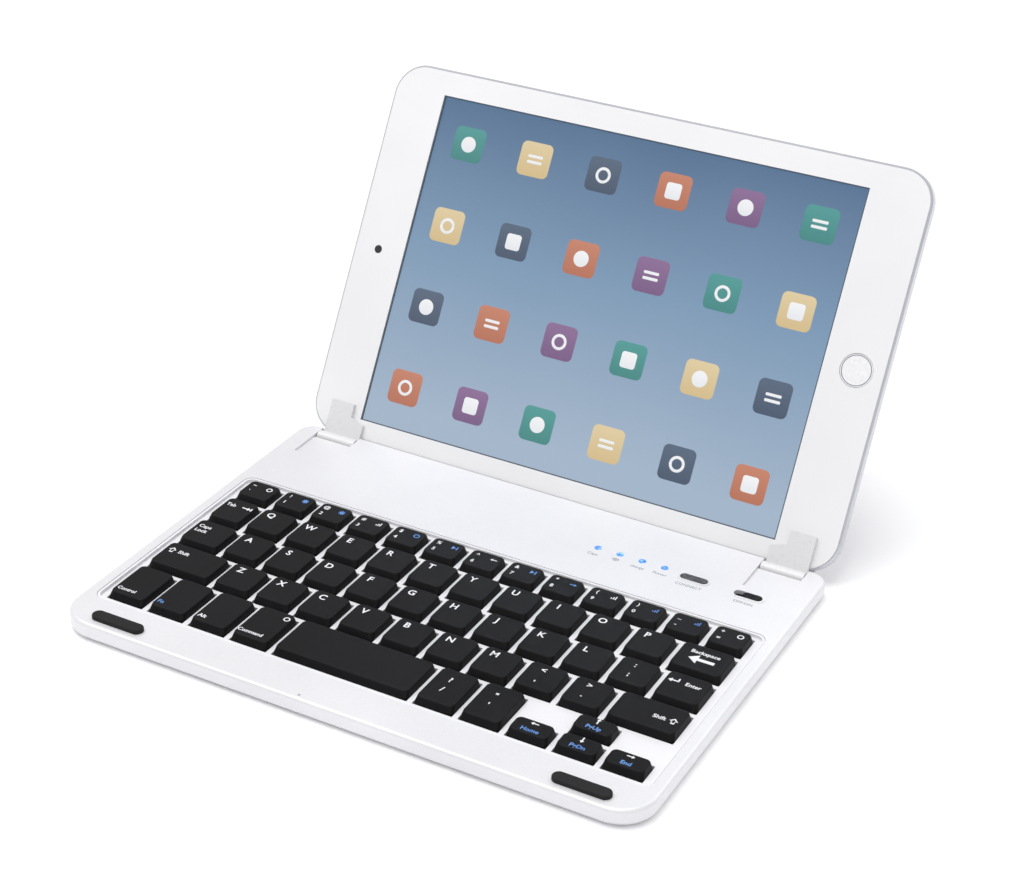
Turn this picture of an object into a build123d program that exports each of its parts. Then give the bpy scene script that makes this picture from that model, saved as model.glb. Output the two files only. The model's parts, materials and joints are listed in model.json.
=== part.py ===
"""Clamshell keyboard case holding a 7.9-inch-class tablet as its lid.

Every separate piece is one labelled part, written as parts/NODE.step in millimetres.
Frame: the rubber feet stand on Z = 0, +X is to the typist's right and +Y is to the rear.
The origin lies on the table under the middle of the open assembly.
The lid is drawn open at OPEN_LEAN behind the vertical, with every key up.
"""
import os
from math import asin, cos, degrees, radians, sin

from build123d import *

os.makedirs("parts", exist_ok=True)

# ---- Tablet ----
TABLET_LENGTH = 200.0
TABLET_HEIGHT = 134.7
TABLET_THICKNESS = 7.2
TABLET_CORNER = 11.5
TABLET_BACK_ROUND = 3.6
TABLET_BACK_WALL = 0.9
TABLET_SIDE_WALL = 2.4
TABLET_RIM = 0.75
TABLET_RIM_DROP = 0.15
TABLET_RIM_CHAMFER = 0.35
GLASS_THICKNESS = 0.9
DISPLAY_LENGTH = 163.0
DISPLAY_HEIGHT = 122.5
DISPLAY_THICKNESS = 1.8
DISPLAY_GAP = 0.05
HOME_RADIUS = 5.5
HOME_INSET = 10.1
HOME_THICKNESS = 1.3
HOME_RECESS = 0.15
CAMERA_RADIUS = 1.4
CAMERA_INSET = 9.7
CAMERA_LENGTH = 1.6
TRIM_CLEARANCE = 0.15
TABLET_CELL_LENGTH = 118.0
TABLET_CELL_HEIGHT = 84.0
TABLET_CELL_THICKNESS = 3.0

# ---- Open pose and hinge ----
OPEN_LEAN = 29.0
HINGE_Y = 32.9
HINGE_SINK = 1.9
TABLET_EDGE_RISE = 2.2
LID_GAP = 0.15

# ---- Base shell ----
BASE_THICKNESS = 5.8
BASE_FRONT_CORNER = 12.0
BASE_REAR_CORNER = 6.0
REAR_OVERHANG = 3.5
FRONT_MARGIN = 3.4
DECK_EDGE_ROUND = 1.2
BELLY_EDGE_ROUND = 2.0
LOWER_SHELL_HEIGHT = 2.8
SHELL_WALL = 1.3
ROOF_THICKNESS = 1.2
FLOOR_THICKNESS = 1.1
REGISTER_LIP = 0.8
SHELL_CLEARANCE = 0.15

# ---- Keys ----
KEY_PITCH = 15.3
KEY_FIELD_WIDTH = 187.0
TAB_WIDTH = 14.4
CAPS_WIDTH = 16.9
SHIFT_WIDTH = 24.9
NUMBER_ROW_DEPTH = 13.3
LETTER_ROW_DEPTH = 16.5
FRONT_ROW_DEPTH = 20.6
NUMBER_KEYS = 13
KEY_GAP_X = 2.2
KEY_GAP_Y = 2.0
KEY_PROUD = 1.1
KEY_SKIRT_SINK = 0.5
KEY_SKIRT_RISE = 0.3
KEY_ROOF = 1.1
KEY_WALL = 1.0
KEY_CORNER = 1.8
KEY_TOP_ROUND = 0.35
KEY_SIDE_TAPER = 0.5
KEY_FRONT_TAPER = 1.2
KEY_REAR_TAPER = 0.5
KEY_WELL_CLEARANCE = 0.2

# ---- Key bed and switch layers ----
BED_FRONT_BORDER = 15.1
BED_MARGIN_X = 1.5
BED_MARGIN_Y = 0.85
BED_CORNER = 2.5
BED_DROP = 1.2
LATTICE_THICKNESS = 1.0
TRAY_RIM = 0.8
TRAY_RIM_DROP = 0.15
TRAY_FLANGE = 1.6
PLATE_THICKNESS = 0.5
MEMBRANE_THICKNESS = 0.2
DOME_BASE_RADIUS = 2.5
DOME_TOP_RADIUS = 1.3
DOME_WALL = 0.6
LINK_WIDTH = 9.4
LINK_BAR = 0.8
LINK_THICKNESS = 0.5
LINK_GAP = 0.1
LINK_INSET = 1.0

# ---- Clips ----
CLIP_INSET = 15.0
CLIP_WIDTH = 14.4
CLIP_TOP_WIDTH = 9.0
CLIP_STEP_HEIGHT = 5.4
CLIP_LIP_REACH = 11.8
CLIP_BACK_REACH = 14.0
CLIP_LIP = 1.4
CLIP_WALL = 1.3
CLIP_BACK = 1.4
CLIP_FIT = 0.1
CLIP_OUTER_ROUND = 4.8
CLIP_INNER_ROUND = 3.4
CLIP_LIP_ROUND = 1.8
PAD_THICKNESS = 0.5
PAD_MARGIN = 1.2
BARREL_RADIUS = 2.2
BARREL_LENGTH = 14.9
PIN_RADIUS = 0.9
PIN_RUNNING = 0.05
PIN_SEAT = 0.02
WEB_LOW = 0.8
WEB_HIGH = 1.8
WEB_DEPTH = 3.0

# ---- Clip notches and brackets in the base ----
NOTCH_SIDE_GAP = 0.3
NOTCH_FRONT_GAP = 0.8
NOTCH_WALL = 1.0
LIP_RECESS_DEPTH = 0.8
LIP_RECESS_REACH = 16.0
PIN_SLOT_CLEARANCE = 0.15
EAR_THICKNESS = 1.6
EAR_REAR = 0.8
EAR_LUG_WALL = 0.4
EAR_POCKET_SKIN = 0.5
BRACKET_REACH = 8.0
BRACKET_BAR = 2.6

# ---- Controls on the rear deck ----
LIGHT_COUNT = 4
LIGHT_PITCH = 8.0
LIGHT_INSET = 72.3
LIGHT_SETBACK = 19.6
LIGHT_RADIUS = 1.2
CONNECT_INSET = 37.4
CONNECT_SETBACK = 20.9
SWITCH_INSET = 18.5
SWITCH_SETBACK = 21.2
CONTROL_LENGTH = 9.7
CONTROL_WIDTH = 3.3
CONTROL_CLEARANCE = 0.15
CONTROL_RIM = 0.8
CONTROL_RIM_PROUD = 0.2
CONTROL_FLANGE = 0.8
CONTROL_FLANGE_THICKNESS = 0.5
BUTTON_PROUD = 0.35
KNOB_LENGTH = 6.4
KNOB_PROUD = 0.35
KNOB_TRAVEL = 2.8
SHUTTER_LENGTH = 13.6

# ---- Electronics ----
BOARD_STANDOFF = 0.6
BOARD_THICKNESS = 0.8
BOARD_LENGTH = 72.0
BOARD_DEPTH = 26.0
BOARD_INSET = 9.0
BOARD_SETBACK = 10.0
CHIP_HEIGHT = 0.8
SWITCH_BODY_HEIGHT = 0.8
PILLAR_RADIUS = 1.6
PILLAR_INSET = 3.0
CELL_LENGTH = 80.0
CELL_DEPTH = 25.0
CELL_THICKNESS = 3.0
CELL_X = -28.0
PORT_SETBACK = 26.0
PORT_WIDTH = 7.5
PORT_HEIGHT = 2.6
PORT_LENGTH = 5.6
PORT_SHELL = 0.35
PORT_OPENING_MARGIN = 0.4
PORT_BOARD_THICKNESS = 0.5
PORT_BOARD_LENGTH = 11.0
PORT_BOARD_DEPTH = 14.0

# ---- Feet, bumpers and screws ----
FOOT_PROUD = 0.6
FOOT_RADIUS = 4.5
FOOT_SEAT = 0.5
FOOT_X = 55.0
FRONT_FOOT_X = 80.0
FOOT_REAR_SETBACK = 2.0
FOOT_FRONT_BORDER = 9.0
BUMPER_LENGTH = 18.6
BUMPER_WIDTH = 4.4
BUMPER_INSET = 20.6
BUMPER_FRONT_BORDER = 5.2
BUMPER_PROUD = 1.35
BUMPER_SEAT = 0.6
SCREW_RADIUS = 0.75
SCREW_HEAD_RADIUS = 1.6
SCREW_HEAD_HEIGHT = 0.7
SCREW_SEAT = 0.03
BOSS_RADIUS = 2.0
BOSS_FLOOR_GAP = 0.05
SCREW_TIP_GAP = 0.3
REAR_SCREW_SETBACK = 5.0
FRONT_SCREW_BORDER = 5.6
REAR_SCREW_X = 66.0
FRONT_SCREW_X = 56.0
PINHOLE_X = -11.7
PINHOLE_RADIUS = 0.45
PINHOLE_DEPTH = 0.6
PINHOLE_FRONT_BORDER = 2.2

# ---- Heights and lines that follow from the sizes above ----
BASE_WIDTH = TABLET_LENGTH
BASE_FRONT = HINGE_Y - (TABLET_EDGE_RISE + TABLET_HEIGHT + FRONT_MARGIN)
BASE_REAR = HINGE_Y + REAR_OVERHANG
BELLY_Z = FOOT_PROUD
DECK_Z = BELLY_Z + BASE_THICKNESS
SPLIT_Z = BELLY_Z + LOWER_SHELL_HEIGHT
FLOOR_Z = BELLY_Z + FLOOR_THICKNESS
ROOF_Z = DECK_Z - ROOF_THICKNESS
HINGE_Z = DECK_Z - HINGE_SINK
GLASS_OFFSET = DECK_Z + BUMPER_PROUD + LID_GAP - HINGE_Z
KEY_TOP_Z = DECK_Z + KEY_PROUD
BED_Z = DECK_Z - BED_DROP
LATTICE_Z = BED_Z - LATTICE_THICKNESS
PLATE_TOP_Z = FLOOR_Z + PLATE_THICKNESS
SWITCH_Z = PLATE_TOP_Z + MEMBRANE_THICKNESS
SKIRT_Z = BED_Z - KEY_SKIRT_SINK
KEY_ROOF_Z = KEY_TOP_Z - KEY_ROOF
BOARD_Z = FLOOR_Z + BOARD_STANDOFF
BOARD_TOP_Z = BOARD_Z + BOARD_THICKNESS
FLANGE_TOP_Z = ROOF_Z - SHELL_CLEARANCE
KEY_FIELD_DEPTH = NUMBER_ROW_DEPTH + 3 * LETTER_ROW_DEPTH + FRONT_ROW_DEPTH
BED_WIDTH = KEY_FIELD_WIDTH + 2 * BED_MARGIN_X
BED_DEPTH = KEY_FIELD_DEPTH + 2 * BED_MARGIN_Y
BED_MID_Y = BASE_FRONT + BED_FRONT_BORDER + BED_DEPTH / 2
TRAY_WIDTH = BED_WIDTH + 2 * TRAY_RIM
TRAY_DEPTH = BED_DEPTH + 2 * TRAY_RIM
CLIP_X = BASE_WIDTH / 2 - CLIP_INSET
NOTCH_WIDTH = BARREL_LENGTH + 2 * NOTCH_SIDE_GAP
NOTCH_FRONT = HINGE_Y - BARREL_RADIUS - NOTCH_FRONT_GAP
NOTCH_BLOCK_WIDTH = NOTCH_WIDTH + 2 * NOTCH_WALL
EAR_X = NOTCH_BLOCK_WIDTH / 2 + SHELL_CLEARANCE + EAR_THICKNESS / 2
LUG_RADIUS = PIN_RADIUS + EAR_LUG_WALL
CONNECT_X = BASE_WIDTH / 2 - CONNECT_INSET
CONNECT_Y = HINGE_Y - CONNECT_SETBACK
SWITCH_X = BASE_WIDTH / 2 - SWITCH_INSET
SWITCH_Y = HINGE_Y - SWITCH_SETBACK
LIGHT_Y = HINGE_Y - LIGHT_SETBACK
LIGHT_MID_X = BASE_WIDTH / 2 - LIGHT_INSET + (LIGHT_COUNT - 1) * LIGHT_PITCH / 2
BOARD_X = BASE_WIDTH / 2 - BOARD_INSET - BOARD_LENGTH / 2
BOARD_Y = HINGE_Y - BOARD_SETBACK - BOARD_DEPTH / 2
PORT_X = -BASE_WIDTH / 2 + PORT_LENGTH / 2
PORT_Y = HINGE_Y - PORT_SETBACK
PORT_Z = FLOOR_Z + PORT_BOARD_THICKNESS + PORT_HEIGHT / 2
BUMPER_SPOTS = [(side * (BASE_WIDTH / 2 - BUMPER_INSET), BASE_FRONT + BUMPER_FRONT_BORDER) for side in (-1, 1)]
SCREW_SPOTS = [(x, HINGE_Y - REAR_SCREW_SETBACK) for x in (-REAR_SCREW_X, 0, REAR_SCREW_X)]
SCREW_SPOTS += [(x, BASE_FRONT + FRONT_SCREW_BORDER) for x in (-FRONT_SCREW_X, 0, FRONT_SCREW_X)]
FOOT_SPOTS = [(x, HINGE_Y - FOOT_REAR_SETBACK) for x in (-FOOT_X, FOOT_X)]
FOOT_SPOTS += [(x, BASE_FRONT + FOOT_FRONT_BORDER) for x in (-FRONT_FOOT_X, FRONT_FOOT_X)]

# The lid's own axes through the hinge line: +Y up the glass, +Z out of the glass.
LEAN = radians(OPEN_LEAN)
LID_UP = (0, sin(LEAN), cos(LEAN))
LID_OUT = (0, -cos(LEAN), sin(LEAN))
LID_PLANE = Plane(origin=(0, HINGE_Y, HINGE_Z), x_dir=(1, 0, 0), z_dir=LID_OUT)
LID_MID_RISE = TABLET_EDGE_RISE + TABLET_HEIGHT / 2
BACK_DEPTH = GLASS_OFFSET + TABLET_THICKNESS


def lid_plane(depth):
    """Plane parallel to the glass, depth behind the hinge line."""
    return LID_PLANE.offset(-depth)


def side_plane(x):
    """Plane across the hinge at x: its X runs up the lid and its Y runs out of the glass."""
    return Plane(origin=(x, HINGE_Y, HINGE_Z), x_dir=LID_UP, z_dir=(1, 0, 0))


def save(part, node):
    """Label one finished piece and write its STEP file."""
    part.label = node
    export_step(part, f"parts/{node}.step")


def base_outline(margin):
    """Sketch the base's plan outline, moved inwards by margin."""
    side = BASE_WIDTH / 2 - margin
    front = BASE_FRONT + margin
    rear = BASE_REAR - margin
    with BuildLine() as outline:
        FilletPolyline(
            (-side, front), (side, front), (side, rear), (-side, rear),
            radius=[BASE_FRONT_CORNER - margin] * 2 + [BASE_REAR_CORNER - margin] * 2, close=True)
    make_face(outline.edges())


def notch_outline(width, front, rear):
    """Sketch the plan of both clip notches between two lines across the base."""
    mid = (front + rear) / 2
    with Locations((-CLIP_X, mid), (CLIP_X, mid)):
        Rectangle(width, rear - front)


# ---- Key layout: (name, centre x, centre y, cell width, cell depth) ----
def key_row(names, widths, rear_y, depth):
    """Lay a row of key cells from left to right across the key field."""
    cells = []
    left = -KEY_FIELD_WIDTH / 2
    for name, width in zip(names, widths):
        cells.append((name, left + width / 2, rear_y - depth / 2, width, depth))
        left += width
    return cells


def half_cell(cell, step):
    """Rear (step 1) or front (step -1) half of a front-row cell."""
    name, x, y, width, depth = cell
    return (name, x, y + step * depth / 4, width, depth / 2)


def filled(widths):
    """Give the last key of a row whatever width is left."""
    return widths + [KEY_FIELD_WIDTH - sum(widths)]


FIELD_REAR = BED_MID_Y + KEY_FIELD_DEPTH / 2
TOP_ROW_REAR = FIELD_REAR - NUMBER_ROW_DEPTH
HOME_ROW_REAR = TOP_ROW_REAR - LETTER_ROW_DEPTH
LOW_ROW_REAR = HOME_ROW_REAR - LETTER_ROW_DEPTH
FRONT_ROW_REAR = LOW_ROW_REAR - LETTER_ROW_DEPTH

number_cells = key_row(
    [f"number_{i}" for i in range(NUMBER_KEYS)],
    [KEY_FIELD_WIDTH / NUMBER_KEYS] * NUMBER_KEYS, FIELD_REAR, NUMBER_ROW_DEPTH)
top_cells = key_row(
    ["tab", *"QWERTYUIOP", "backspace"],
    filled([TAB_WIDTH] + [KEY_PITCH] * 10), TOP_ROW_REAR, LETTER_ROW_DEPTH)
home_cells = key_row(
    ["caps", *"ASDFGHJKL", "semicolon", "enter"],
    filled([CAPS_WIDTH] + [KEY_PITCH] * 10), HOME_ROW_REAR, LETTER_ROW_DEPTH)
low_cells = key_row(
    ["shift_left", *"ZXCVBNM", "comma", "period", "shift_right"],
    filled([SHIFT_WIDTH] + [KEY_PITCH] * 9), LOW_ROW_REAR, LETTER_ROW_DEPTH)
front_cells = key_row(
    ["control", "fn", "alt", "command", "space", "slash", "quote", "home", "page", "end"],
    [KEY_PITCH] * 4 + [KEY_FIELD_WIDTH - 9 * KEY_PITCH] + [KEY_PITCH] * 5,
    FRONT_ROW_REAR, FRONT_ROW_DEPTH)

cells = {cell[0]: cell for cell in top_cells + home_cells + low_cells + front_cells}
page = cells.pop("page")
arrow_cells = [half_cell(cells.pop("home"), -1), half_cell(page, 1), half_cell(page, -1), half_cell(cells.pop("end"), -1)]
letter_cells = [cells.pop(name) for name in "QWERTYUIOPASDFGHJKLZXCVBNM"]
space_cell = cells.pop("space")
symbol_cells = [cells.pop(name) for name in ("semicolon", "comma", "period", "slash", "quote")]
word_cells = list(cells.values())
full_cells = number_cells + letter_cells + [space_cell] + symbol_cells + word_cells
all_cells = full_cells + arrow_cells
key_groups = {f"key_{cell[0]}": [cell] for cell in letter_cells}
key_groups["key_space"] = [space_cell]
key_groups["keys_number_row"] = number_cells
key_groups["keys_symbols"] = symbol_cells
key_groups["keys_words"] = word_cells
key_groups["keys_arrows"] = arrow_cells


# ---- Base shell ----
with BuildPart() as top_cover:
    with BuildSketch(Plane.XY.offset(SPLIT_Z)):
        base_outline(0)
    extrude(amount=DECK_Z - SPLIT_Z)
    fillet(top_cover.faces().sort_by(Axis.Z)[-1].edges(), DECK_EDGE_ROUND)
    with BuildSketch(Plane.XY.offset(SPLIT_Z)):
        base_outline(SHELL_WALL)
    extrude(amount=ROOF_Z - SPLIT_Z, mode=Mode.SUBTRACT)
    with BuildSketch(Plane.XY.offset(SPLIT_Z)):
        notch_outline(NOTCH_BLOCK_WIDTH, NOTCH_FRONT - NOTCH_WALL, BASE_REAR - SHELL_WALL / 2)
    extrude(amount=ROOF_Z - SPLIT_Z)
    # Screw bosses hang from the roof to just above the floor.
    with BuildSketch(Plane.XY.offset(FLOOR_Z + BOSS_FLOOR_GAP)):
        with Locations(*SCREW_SPOTS):
            Circle(BOSS_RADIUS)
    extrude(amount=ROOF_Z - FLOOR_Z - BOSS_FLOOR_GAP)
    with BuildSketch(Plane.XY.offset(FLOOR_Z)):
        with Locations(*SCREW_SPOTS):
            Circle(SCREW_RADIUS + SCREW_SEAT)
    extrude(amount=ROOF_Z - FLOOR_Z, mode=Mode.SUBTRACT)
    # Notches for the clip barrels, and the shallow recess under the closed clips' lips.
    with BuildSketch(Plane.XY.offset(BELLY_Z)):
        notch_outline(NOTCH_WIDTH, NOTCH_FRONT, BASE_REAR + SHELL_WALL)
    extrude(amount=BASE_THICKNESS, mode=Mode.SUBTRACT)
    with BuildSketch(Plane.XY.offset(DECK_Z)):
        notch_outline(NOTCH_WIDTH, HINGE_Y - LIP_RECESS_REACH, NOTCH_FRONT)
    extrude(amount=-LIP_RECESS_DEPTH, mode=Mode.SUBTRACT)
    # Slots that let the hinge pins in from below, and pockets over the bracket ears.
    slot_width = 2 * (PIN_RADIUS + PIN_SLOT_CLEARANCE)
    with BuildSketch(Plane.XY.offset(SPLIT_Z)):
        with Locations((-CLIP_X, HINGE_Y), (CLIP_X, HINGE_Y)):
            Rectangle(NOTCH_BLOCK_WIDTH + SHELL_CLEARANCE, slot_width)
    extrude(amount=HINGE_Z + slot_width / 2 - SPLIT_Z, mode=Mode.SUBTRACT)
    pocket_depth = 2 * (LUG_RADIUS + SHELL_CLEARANCE)
    with BuildSketch(Plane.XY.offset(ROOF_Z)):
        with Locations(*[(side * CLIP_X + end * EAR_X, HINGE_Y) for side in (-1, 1) for end in (-1, 1)]):
            Rectangle(EAR_THICKNESS + 2 * SHELL_CLEARANCE, pocket_depth)
    extrude(amount=DECK_Z - EAR_POCKET_SKIN - ROOF_Z, mode=Mode.SUBTRACT)
    # Key bed opening.
    with BuildSketch(Plane.XY.offset(ROOF_Z)):
        with Locations((0, BED_MID_Y)):
            RectangleRounded(
                TRAY_WIDTH + 2 * SHELL_CLEARANCE, TRAY_DEPTH + 2 * SHELL_CLEARANCE,
                BED_CORNER + TRAY_RIM + SHELL_CLEARANCE)
    extrude(amount=ROOF_THICKNESS, mode=Mode.SUBTRACT)
    # Bumper seats.
    with BuildSketch(Plane.XY.offset(DECK_Z)):
        with Locations(*BUMPER_SPOTS):
            SlotOverall(BUMPER_LENGTH, BUMPER_WIDTH)
    extrude(amount=-BUMPER_SEAT, mode=Mode.SUBTRACT)
    # Low rims round the two controls, and the openings through them.
    with BuildSketch(Plane.XY.offset(ROOF_Z)):
        with Locations((CONNECT_X, CONNECT_Y), (SWITCH_X, SWITCH_Y)):
            SlotOverall(CONTROL_LENGTH + 2 * CONTROL_RIM, CONTROL_WIDTH + 2 * CONTROL_RIM)
    extrude(amount=ROOF_THICKNESS + CONTROL_RIM_PROUD)
    with BuildSketch(Plane.XY.offset(ROOF_Z)):
        with Locations((CONNECT_X, CONNECT_Y), (SWITCH_X, SWITCH_Y)):
            SlotOverall(CONTROL_LENGTH, CONTROL_WIDTH)
    extrude(amount=ROOF_THICKNESS + CONTROL_RIM_PROUD, mode=Mode.SUBTRACT)
    with BuildSketch(Plane.XY.offset(ROOF_Z)):
        with Locations((LIGHT_MID_X, LIGHT_Y)):
            with GridLocations(LIGHT_PITCH, 0, LIGHT_COUNT, 1):
                Circle(LIGHT_RADIUS + SHELL_CLEARANCE / 2)
    extrude(amount=ROOF_THICKNESS, mode=Mode.SUBTRACT)
    with BuildSketch(Plane.XY.offset(DECK_Z)):
        with Locations((PINHOLE_X, BASE_FRONT + PINHOLE_FRONT_BORDER)):
            Circle(PINHOLE_RADIUS)
    extrude(amount=-PINHOLE_DEPTH, mode=Mode.SUBTRACT)
    # Charging inlet through the left wall.
    with BuildSketch(Plane(origin=(-BASE_WIDTH / 2, PORT_Y, PORT_Z), x_dir=(0, 1, 0), z_dir=(1, 0, 0))):
        Rectangle(PORT_WIDTH + 2 * PORT_OPENING_MARGIN, PORT_HEIGHT + 2 * PORT_OPENING_MARGIN)
    extrude(amount=SHELL_WALL, both=True, mode=Mode.SUBTRACT)
save(top_cover.part, "top_cover")

with BuildPart() as bottom_cover:
    with BuildSketch(Plane.XY.offset(BELLY_Z)):
        base_outline(0)
    extrude(amount=SPLIT_Z - BELLY_Z)
    fillet(bottom_cover.faces().sort_by(Axis.Z)[0].edges(), BELLY_EDGE_ROUND)
    with BuildSketch(Plane.XY.offset(FLOOR_Z)):
        base_outline(SHELL_WALL)
    extrude(amount=SPLIT_Z - FLOOR_Z, mode=Mode.SUBTRACT)
    # Register lip that stands up inside the top cover.
    with BuildSketch(Plane.XY.offset(FLOOR_Z)):
        base_outline(SHELL_WALL + SHELL_CLEARANCE)
    extrude(amount=SPLIT_Z + REGISTER_LIP - FLOOR_Z)
    with BuildSketch(Plane.XY.offset(FLOOR_Z)):
        base_outline(SHELL_WALL + SHELL_CLEARANCE + REGISTER_LIP)
    extrude(amount=SPLIT_Z + REGISTER_LIP - FLOOR_Z, mode=Mode.SUBTRACT)
    # The rear corners and the key tray leave no room for the lip, so it stops at the split there.
    with BuildSketch(Plane.XY.offset(SPLIT_Z)):
        notch_outline(2 * CLIP_INSET, HINGE_Y - BRACKET_REACH - SHELL_CLEARANCE, BASE_REAR)
        with Locations((0, BED_MID_Y)):
            Rectangle(TRAY_WIDTH + 2 * (TRAY_FLANGE + SHELL_CLEARANCE), TRAY_DEPTH)
    extrude(amount=REGISTER_LIP, mode=Mode.SUBTRACT)
    with BuildSketch(Plane.XY.offset(FLOOR_Z)):
        notch_outline(NOTCH_BLOCK_WIDTH, NOTCH_FRONT - NOTCH_WALL, BASE_REAR - SHELL_WALL / 2)
    extrude(amount=SPLIT_Z - FLOOR_Z)
    with BuildSketch(Plane.XY.offset(FLOOR_Z)):
        notch_outline(NOTCH_WIDTH, NOTCH_FRONT, BASE_REAR + SHELL_WALL)
    extrude(amount=BASE_THICKNESS, mode=Mode.SUBTRACT)
    # Pillars under the main board.
    with BuildSketch(Plane.XY.offset(FLOOR_Z)):
        with Locations((BOARD_X, BOARD_Y)):
            with GridLocations(BOARD_LENGTH - 2 * PILLAR_INSET, BOARD_DEPTH - 2 * PILLAR_INSET, 2, 2):
                Circle(PILLAR_RADIUS)
    extrude(amount=BOARD_STANDOFF)
    # Countersunk screw holes and foot seats, from below.
    with BuildSketch(Plane.XY.offset(BELLY_Z)):
        with Locations(*SCREW_SPOTS):
            Circle(SCREW_RADIUS + SCREW_SEAT)
    extrude(amount=FLOOR_THICKNESS, mode=Mode.SUBTRACT)
    with Locations(*[(x, y, BELLY_Z) for x, y in SCREW_SPOTS]):
        Cone(
            SCREW_HEAD_RADIUS + SCREW_SEAT, SCREW_RADIUS + SCREW_SEAT, SCREW_HEAD_HEIGHT,
            align=(Align.CENTER, Align.CENTER, Align.MIN), mode=Mode.SUBTRACT)
    with BuildSketch(Plane.XY.offset(BELLY_Z)):
        with Locations(*FOOT_SPOTS):
            Circle(FOOT_RADIUS)
    extrude(amount=FOOT_SEAT, mode=Mode.SUBTRACT)
    with BuildSketch(Plane(origin=(-BASE_WIDTH / 2, PORT_Y, PORT_Z), x_dir=(0, 1, 0), z_dir=(1, 0, 0))):
        Rectangle(PORT_WIDTH + 2 * PORT_OPENING_MARGIN, PORT_HEIGHT + 2 * PORT_OPENING_MARGIN)
    extrude(amount=SHELL_WALL + SHELL_CLEARANCE + REGISTER_LIP, both=True, mode=Mode.SUBTRACT)
save(bottom_cover.part, "bottom_cover")

with BuildPart() as rubber_feet:
    with BuildSketch(Plane.XY):
        with Locations(*FOOT_SPOTS):
            Circle(FOOT_RADIUS)
    extrude(amount=FOOT_PROUD + FOOT_SEAT)
    chamfer(rubber_feet.faces().group_by(Axis.Z)[0].edges(), FOOT_PROUD / 3)
save(rubber_feet.part, "rubber_feet")

with BuildPart() as case_screws:
    with Locations(*[(x, y, BELLY_Z) for x, y in SCREW_SPOTS]):
        Cone(
            SCREW_HEAD_RADIUS, SCREW_RADIUS, SCREW_HEAD_HEIGHT,
            align=(Align.CENTER, Align.CENTER, Align.MIN))
        Cylinder(
            SCREW_RADIUS, ROOF_Z - SCREW_TIP_GAP - BELLY_Z,
            align=(Align.CENTER, Align.CENTER, Align.MIN))
save(case_screws.part, "case_screws")

with BuildPart() as front_bumpers:
    with BuildSketch(Plane.XY.offset(DECK_Z - BUMPER_SEAT)):
        with Locations(*BUMPER_SPOTS):
            SlotOverall(BUMPER_LENGTH, BUMPER_WIDTH)
    extrude(amount=BUMPER_SEAT + BUMPER_PROUD)
    fillet(front_bumpers.faces().group_by(Axis.Z)[-1].edges(), BUMPER_PROUD / 3)
save(front_bumpers.part, "front_bumpers")


# ---- Keyboard module ----
def cell_spots(group, z):
    """Centres of key cells at one height."""
    return [(x, y, z) for _, x, y, _, _ in group]


with BuildPart() as key_tray:
    with BuildSketch(Plane.XY.offset(PLATE_TOP_Z)):
        with Locations((0, BED_MID_Y)):
            RectangleRounded(TRAY_WIDTH, TRAY_DEPTH, BED_CORNER + TRAY_RIM)
    extrude(amount=DECK_Z - TRAY_RIM_DROP - PLATE_TOP_Z)
    with BuildSketch(Plane.XY.offset(LATTICE_Z)):
        with Locations((0, BED_MID_Y)):
            RectangleRounded(
                TRAY_WIDTH + 2 * TRAY_FLANGE, TRAY_DEPTH + 2 * TRAY_FLANGE, BED_CORNER + TRAY_RIM + TRAY_FLANGE)
    extrude(amount=FLANGE_TOP_Z - LATTICE_Z)
    with BuildSketch(Plane.XY.offset(PLATE_TOP_Z), Plane.XY.offset(BED_Z)):
        with Locations((0, BED_MID_Y)):
            RectangleRounded(BED_WIDTH, BED_DEPTH, BED_CORNER)
    extrude(amount=LATTICE_Z - PLATE_TOP_Z, mode=Mode.SUBTRACT)
    with BuildSketch(Plane.XY.offset(LATTICE_Z)):
        for _, x, y, width, depth in all_cells:
            with Locations((x, y)):
                Rectangle(
                    width - KEY_GAP_X + 2 * KEY_WELL_CLEARANCE,
                    depth - KEY_GAP_Y + 2 * KEY_WELL_CLEARANCE)
    extrude(amount=LATTICE_THICKNESS, mode=Mode.SUBTRACT)
save(key_tray.part, "key_tray")

with BuildPart() as support_plate:
    with BuildSketch(Plane.XY.offset(FLOOR_Z)):
        with Locations((0, BED_MID_Y)):
            RectangleRounded(TRAY_WIDTH, TRAY_DEPTH, BED_CORNER + TRAY_RIM)
    extrude(amount=PLATE_THICKNESS)
save(support_plate.part, "support_plate")

with BuildPart() as switch_membrane:
    with BuildSketch(Plane.XY.offset(PLATE_TOP_Z)):
        with Locations((0, BED_MID_Y)):
            RectangleRounded(BED_WIDTH - TRAY_RIM, BED_DEPTH - TRAY_RIM, BED_CORNER)
    extrude(amount=MEMBRANE_THICKNESS)
save(switch_membrane.part, "switch_membrane")

with BuildPart() as rubber_domes:
    dome_height = KEY_ROOF_Z - SWITCH_Z
    with Locations(*cell_spots(all_cells, SWITCH_Z)):
        Cone(
            DOME_BASE_RADIUS, DOME_TOP_RADIUS, dome_height,
            align=(Align.CENTER, Align.CENTER, Align.MIN))
    with Locations(*cell_spots(all_cells, SWITCH_Z)):
        Cone(
            DOME_BASE_RADIUS - DOME_WALL, DOME_TOP_RADIUS - DOME_WALL, dome_height - DOME_WALL,
            align=(Align.CENTER, Align.CENTER, Align.MIN), mode=Mode.SUBTRACT)
save(rubber_domes.part, "rubber_domes")

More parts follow.
